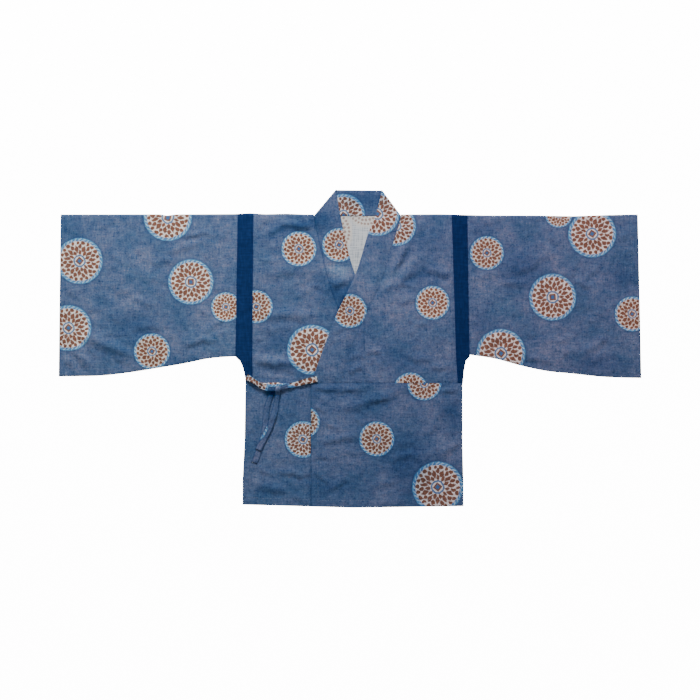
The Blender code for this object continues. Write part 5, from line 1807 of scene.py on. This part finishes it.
# %% Wrong side, navy cotton and thread
PALE = (0.720, 0.745, 0.780)
PALE_THREAD_AND_SHADE = (0.400, 0.440, 0.500)
GHOST = (0.800, 0.740, 0.680)
NAVY = (0.0024, 0.0190, 0.0900)
NAVY_LIGHT = (0.0076, 0.0320, 0.1300)
THREAD_COLOUR = (0.300, 0.360, 0.450)
COARSE_SLUB = (0.040, 0.0030)
PALE_STREAK = (-0.24, 0.14)
GHOST_RINGS = (
    Ring(24, 0.66, 0.070, 0.060, 0.5, 1.5),
    Ring(34, 0.84, 0.060, 0.056, 0.0, 1.5),
    Ring(18, 0.49, 0.064, 0.056, 0.0, 1.5),
    Ring(12, 0.32, 0.060, 0.052, 0.5, 1.5),
)
GHOST_EDGE, GHOST_SHARE, GHOST_MARKS = (1.1, 0.9), 0.75, 0.62
GHOST_ROUGH_SCALE, GHOST_ROUGH = 260.0, 2.0
SHADOW_EDGE = (0.0, 0.9)
PALE_RELIEF = (0.00016, 0.8)
NAVY_STREAK = (-0.25, 0.35)
NAVY_CRUMPLE_SCALE, NAVY_CRUMPLE = 110.0, 4.0
NAVY_WEAVE = 0.4
NAVY_RELIEF = (0.00030, 0.6)


def make_wrong_side():
    cloth = Finish("wrong side", roughness=0.92, sheen_weight=0.08, specular_ior_level=0.2)
    sheet, x, v, shade = cloth.place()
    across, along = slubs(cloth, sheet, *COARSE_SLUB)
    colour = cloth.mix((across + along).step(*PALE_STREAK), PALE_THREAD_AND_SHADE, PALE)
    _, u, w, _ = cloth.attribute("roundel")
    polar = polar_of(cloth, u, w)
    rough = (cloth.noise(sheet, GHOST_ROUGH_SCALE, detail=1.0) - 0.5) * GHOST_ROUGH
    marks = drops(polar, GHOST_RINGS[0], rough=rough)
    for ring in GHOST_RINGS[1:]:
        marks = marks.largest(drops(polar, ring, rough=rough))
    colour = cloth.mix(polar[0].step(*GHOST_EDGE) * GHOST_SHARE, colour, GHOST)
    colour = cloth.mix(marks * GHOST_MARKS, colour, LIGHT_BROWN)
    # Painted shade: where the shade attribute is low, the pale side darkens towards its darker colour.
    colour = cloth.mix((1.0 - shade).step(*SHADOW_EDGE), colour, PALE_THREAD_AND_SHADE)
    threads = weave(x, v) * WEAVE_SHARE + across + along
    cloth.set(base_color=colour, normal=cloth.bump(threads, *PALE_RELIEF))
    return cloth.material


def make_navy():
    cloth = Finish("navy cotton", roughness=0.85, sheen_weight=0.01, specular_ior_level=0.12)
    sheet, x, v, shade = cloth.place()
    across, along = slubs(cloth, sheet)
    # The shade attribute tones the navy: its dye, and painted shade along its edges and seams and in spots.
    colour = toned(cloth, cloth.mix((across + along).step(*NAVY_STREAK), NAVY, NAVY_LIGHT), shade - 1.0)
    crumple = cloth.noise(sheet, NAVY_CRUMPLE_SCALE, detail=3.0) * NAVY_CRUMPLE
    threads = weave(x, v) * NAVY_WEAVE + across + crumple
    cloth.set(base_color=colour, normal=cloth.bump(threads, *NAVY_RELIEF))
    return cloth.material


def make_thread():
    return Finish("thread", base_color=THREAD_COLOUR, roughness=0.7).material


wrong_side, navy_cotton, thread = make_wrong_side(), make_navy(), make_thread()
print("materials:", [material.name for material in (printed_cloth, wrong_side, navy_cotton, thread)])

# %% [markdown]
# Every piece gets the materials of its two faces, and each hem that the photograph shows gets the lines that
# its stitches run along. The hem of the back is hidden there, so it stays plain.

# %% Dressing the pieces
HEM_LINES = {
    "peplum_left": [
        [(-0.080, -0.655), (0.0, -0.6553), (0.25, -0.652)],
        [(-0.0790, -0.390), (-0.0795, -0.5000), (-0.0790, -0.652)],
    ],
    "peplum_right": [[(-0.249, -0.649), (-0.10, -0.6525)]],
    "sleeve_right": [[(-0.6517, -0.012), (-0.6563, -0.368)]],
    "sleeve_left": [[(0.6367, -0.012), (0.6448, -0.370)]],
}
printed_pieces = [*bodice, *overlaps, *sleeves, *peplum, collar, *tie, *knot]
for pieces, faces in ((printed_pieces, (printed_cloth, wrong_side)), (bands, (navy_cotton, navy_cotton))):
    for piece in pieces:
        for material in faces:
            piece.data.materials.append(material)
threads = []
for name, rows in HEM_LINES.items():
    stitches = make_stitches(name + "_stitches", bpy.data.objects[name + "_cloth"], rows)
    stitches.data.materials.append(thread)
    threads.append(stitches)
print("stitched lines:", len(threads), "faces:", sum(len(piece.data.polygons) for piece in threads))

# %% [markdown]
# The photograph looks straight down from far away, with soft light from the neck side and the left, on a
# white ground. A long lens keeps the sides of the cloth out of sight.

# %% Floor, light and camera
PICTURE_SPAN = 1.603
CAMERA_HEIGHT = 6.0
CAMERA_Y = -0.0034
SENSOR = 36.0
FLOOR_SIZE = 60.0
FLOOR_GAP = 0.0003
PAPER = (0.80, 0.80, 0.80)
PAPER_GLOW = 14.0
SKY_COLOUR = (0.93, 0.96, 1.0, 1.0)
SKY_STRENGTH = 0.22
Lamp = namedtuple("Lamp", "name place size power")
LAMPS = (Lamp("window", (-0.4, 2.8, 1.40), 0.6, 138.0), Lamp("sky", (0.6, 0.2, 3.2), 2.5, 16.0))


def make_floor():
    """White paper that glows evenly, so no shadow shows on it. Its light doesn't reach the cloth."""
    bpy.ops.mesh.primitive_plane_add(size=FLOOR_SIZE, location=(0, 0, -FLOOR_GAP))
    floor = bpy.context.object
    floor.name = "white_ground"
    paper = Finish("white ground", base_color=PAPER, roughness=0.9)
    paper.set(emission_color=(1.0, 1.0, 1.0), emission_strength=PAPER_GLOW)
    floor.data.materials.append(paper.material)
    floor.visible_diffuse = False


def make_light(lamp):
    """A square soft light that is aimed at the middle of the jacket."""
    soft = bpy.data.lights.new(lamp.name, "AREA")
    soft.energy = lamp.power
    soft.size = lamp.size
    light = bpy.data.objects.new(lamp.name, soft)
    light.location = lamp.place
    light.rotation_euler = (-Vector(lamp.place)).to_track_quat("-Z", "Y").to_euler()
    bpy.context.scene.collection.objects.link(light)


def make_world():
    """A faint even light from all round."""
    world = bpy.data.worlds.new("room")
    world.use_nodes = True
    background = world.node_tree.nodes["Background"]
    background.inputs["Color"].default_value = SKY_COLOUR
    background.inputs["Strength"].default_value = SKY_STRENGTH
    bpy.context.scene.world = world


def make_camera():
    """A long lens straight above, framed as the photograph is."""
    lens = bpy.data.cameras.new("camera")
    lens.sensor_width = SENSOR
    lens.lens = SENSOR * CAMERA_HEIGHT / PICTURE_SPAN
    camera = bpy.data.objects.new("camera", lens)
    camera.location = (0.0, CAMERA_Y, CAMERA_HEIGHT)
    bpy.context.scene.collection.objects.link(camera)
    bpy.context.scene.camera = camera
    return camera


make_floor()
for lamp in LAMPS:
    make_light(lamp)
make_world()
camera = make_camera()
print("lights:", len(LAMPS), "lens:", round(camera.data.lens, 1), "mm")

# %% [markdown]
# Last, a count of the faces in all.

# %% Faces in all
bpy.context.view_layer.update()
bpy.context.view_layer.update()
print("faces in all:", sum(len(item.data.polygons) for item in bpy.data.objects if item.type == "MESH"))
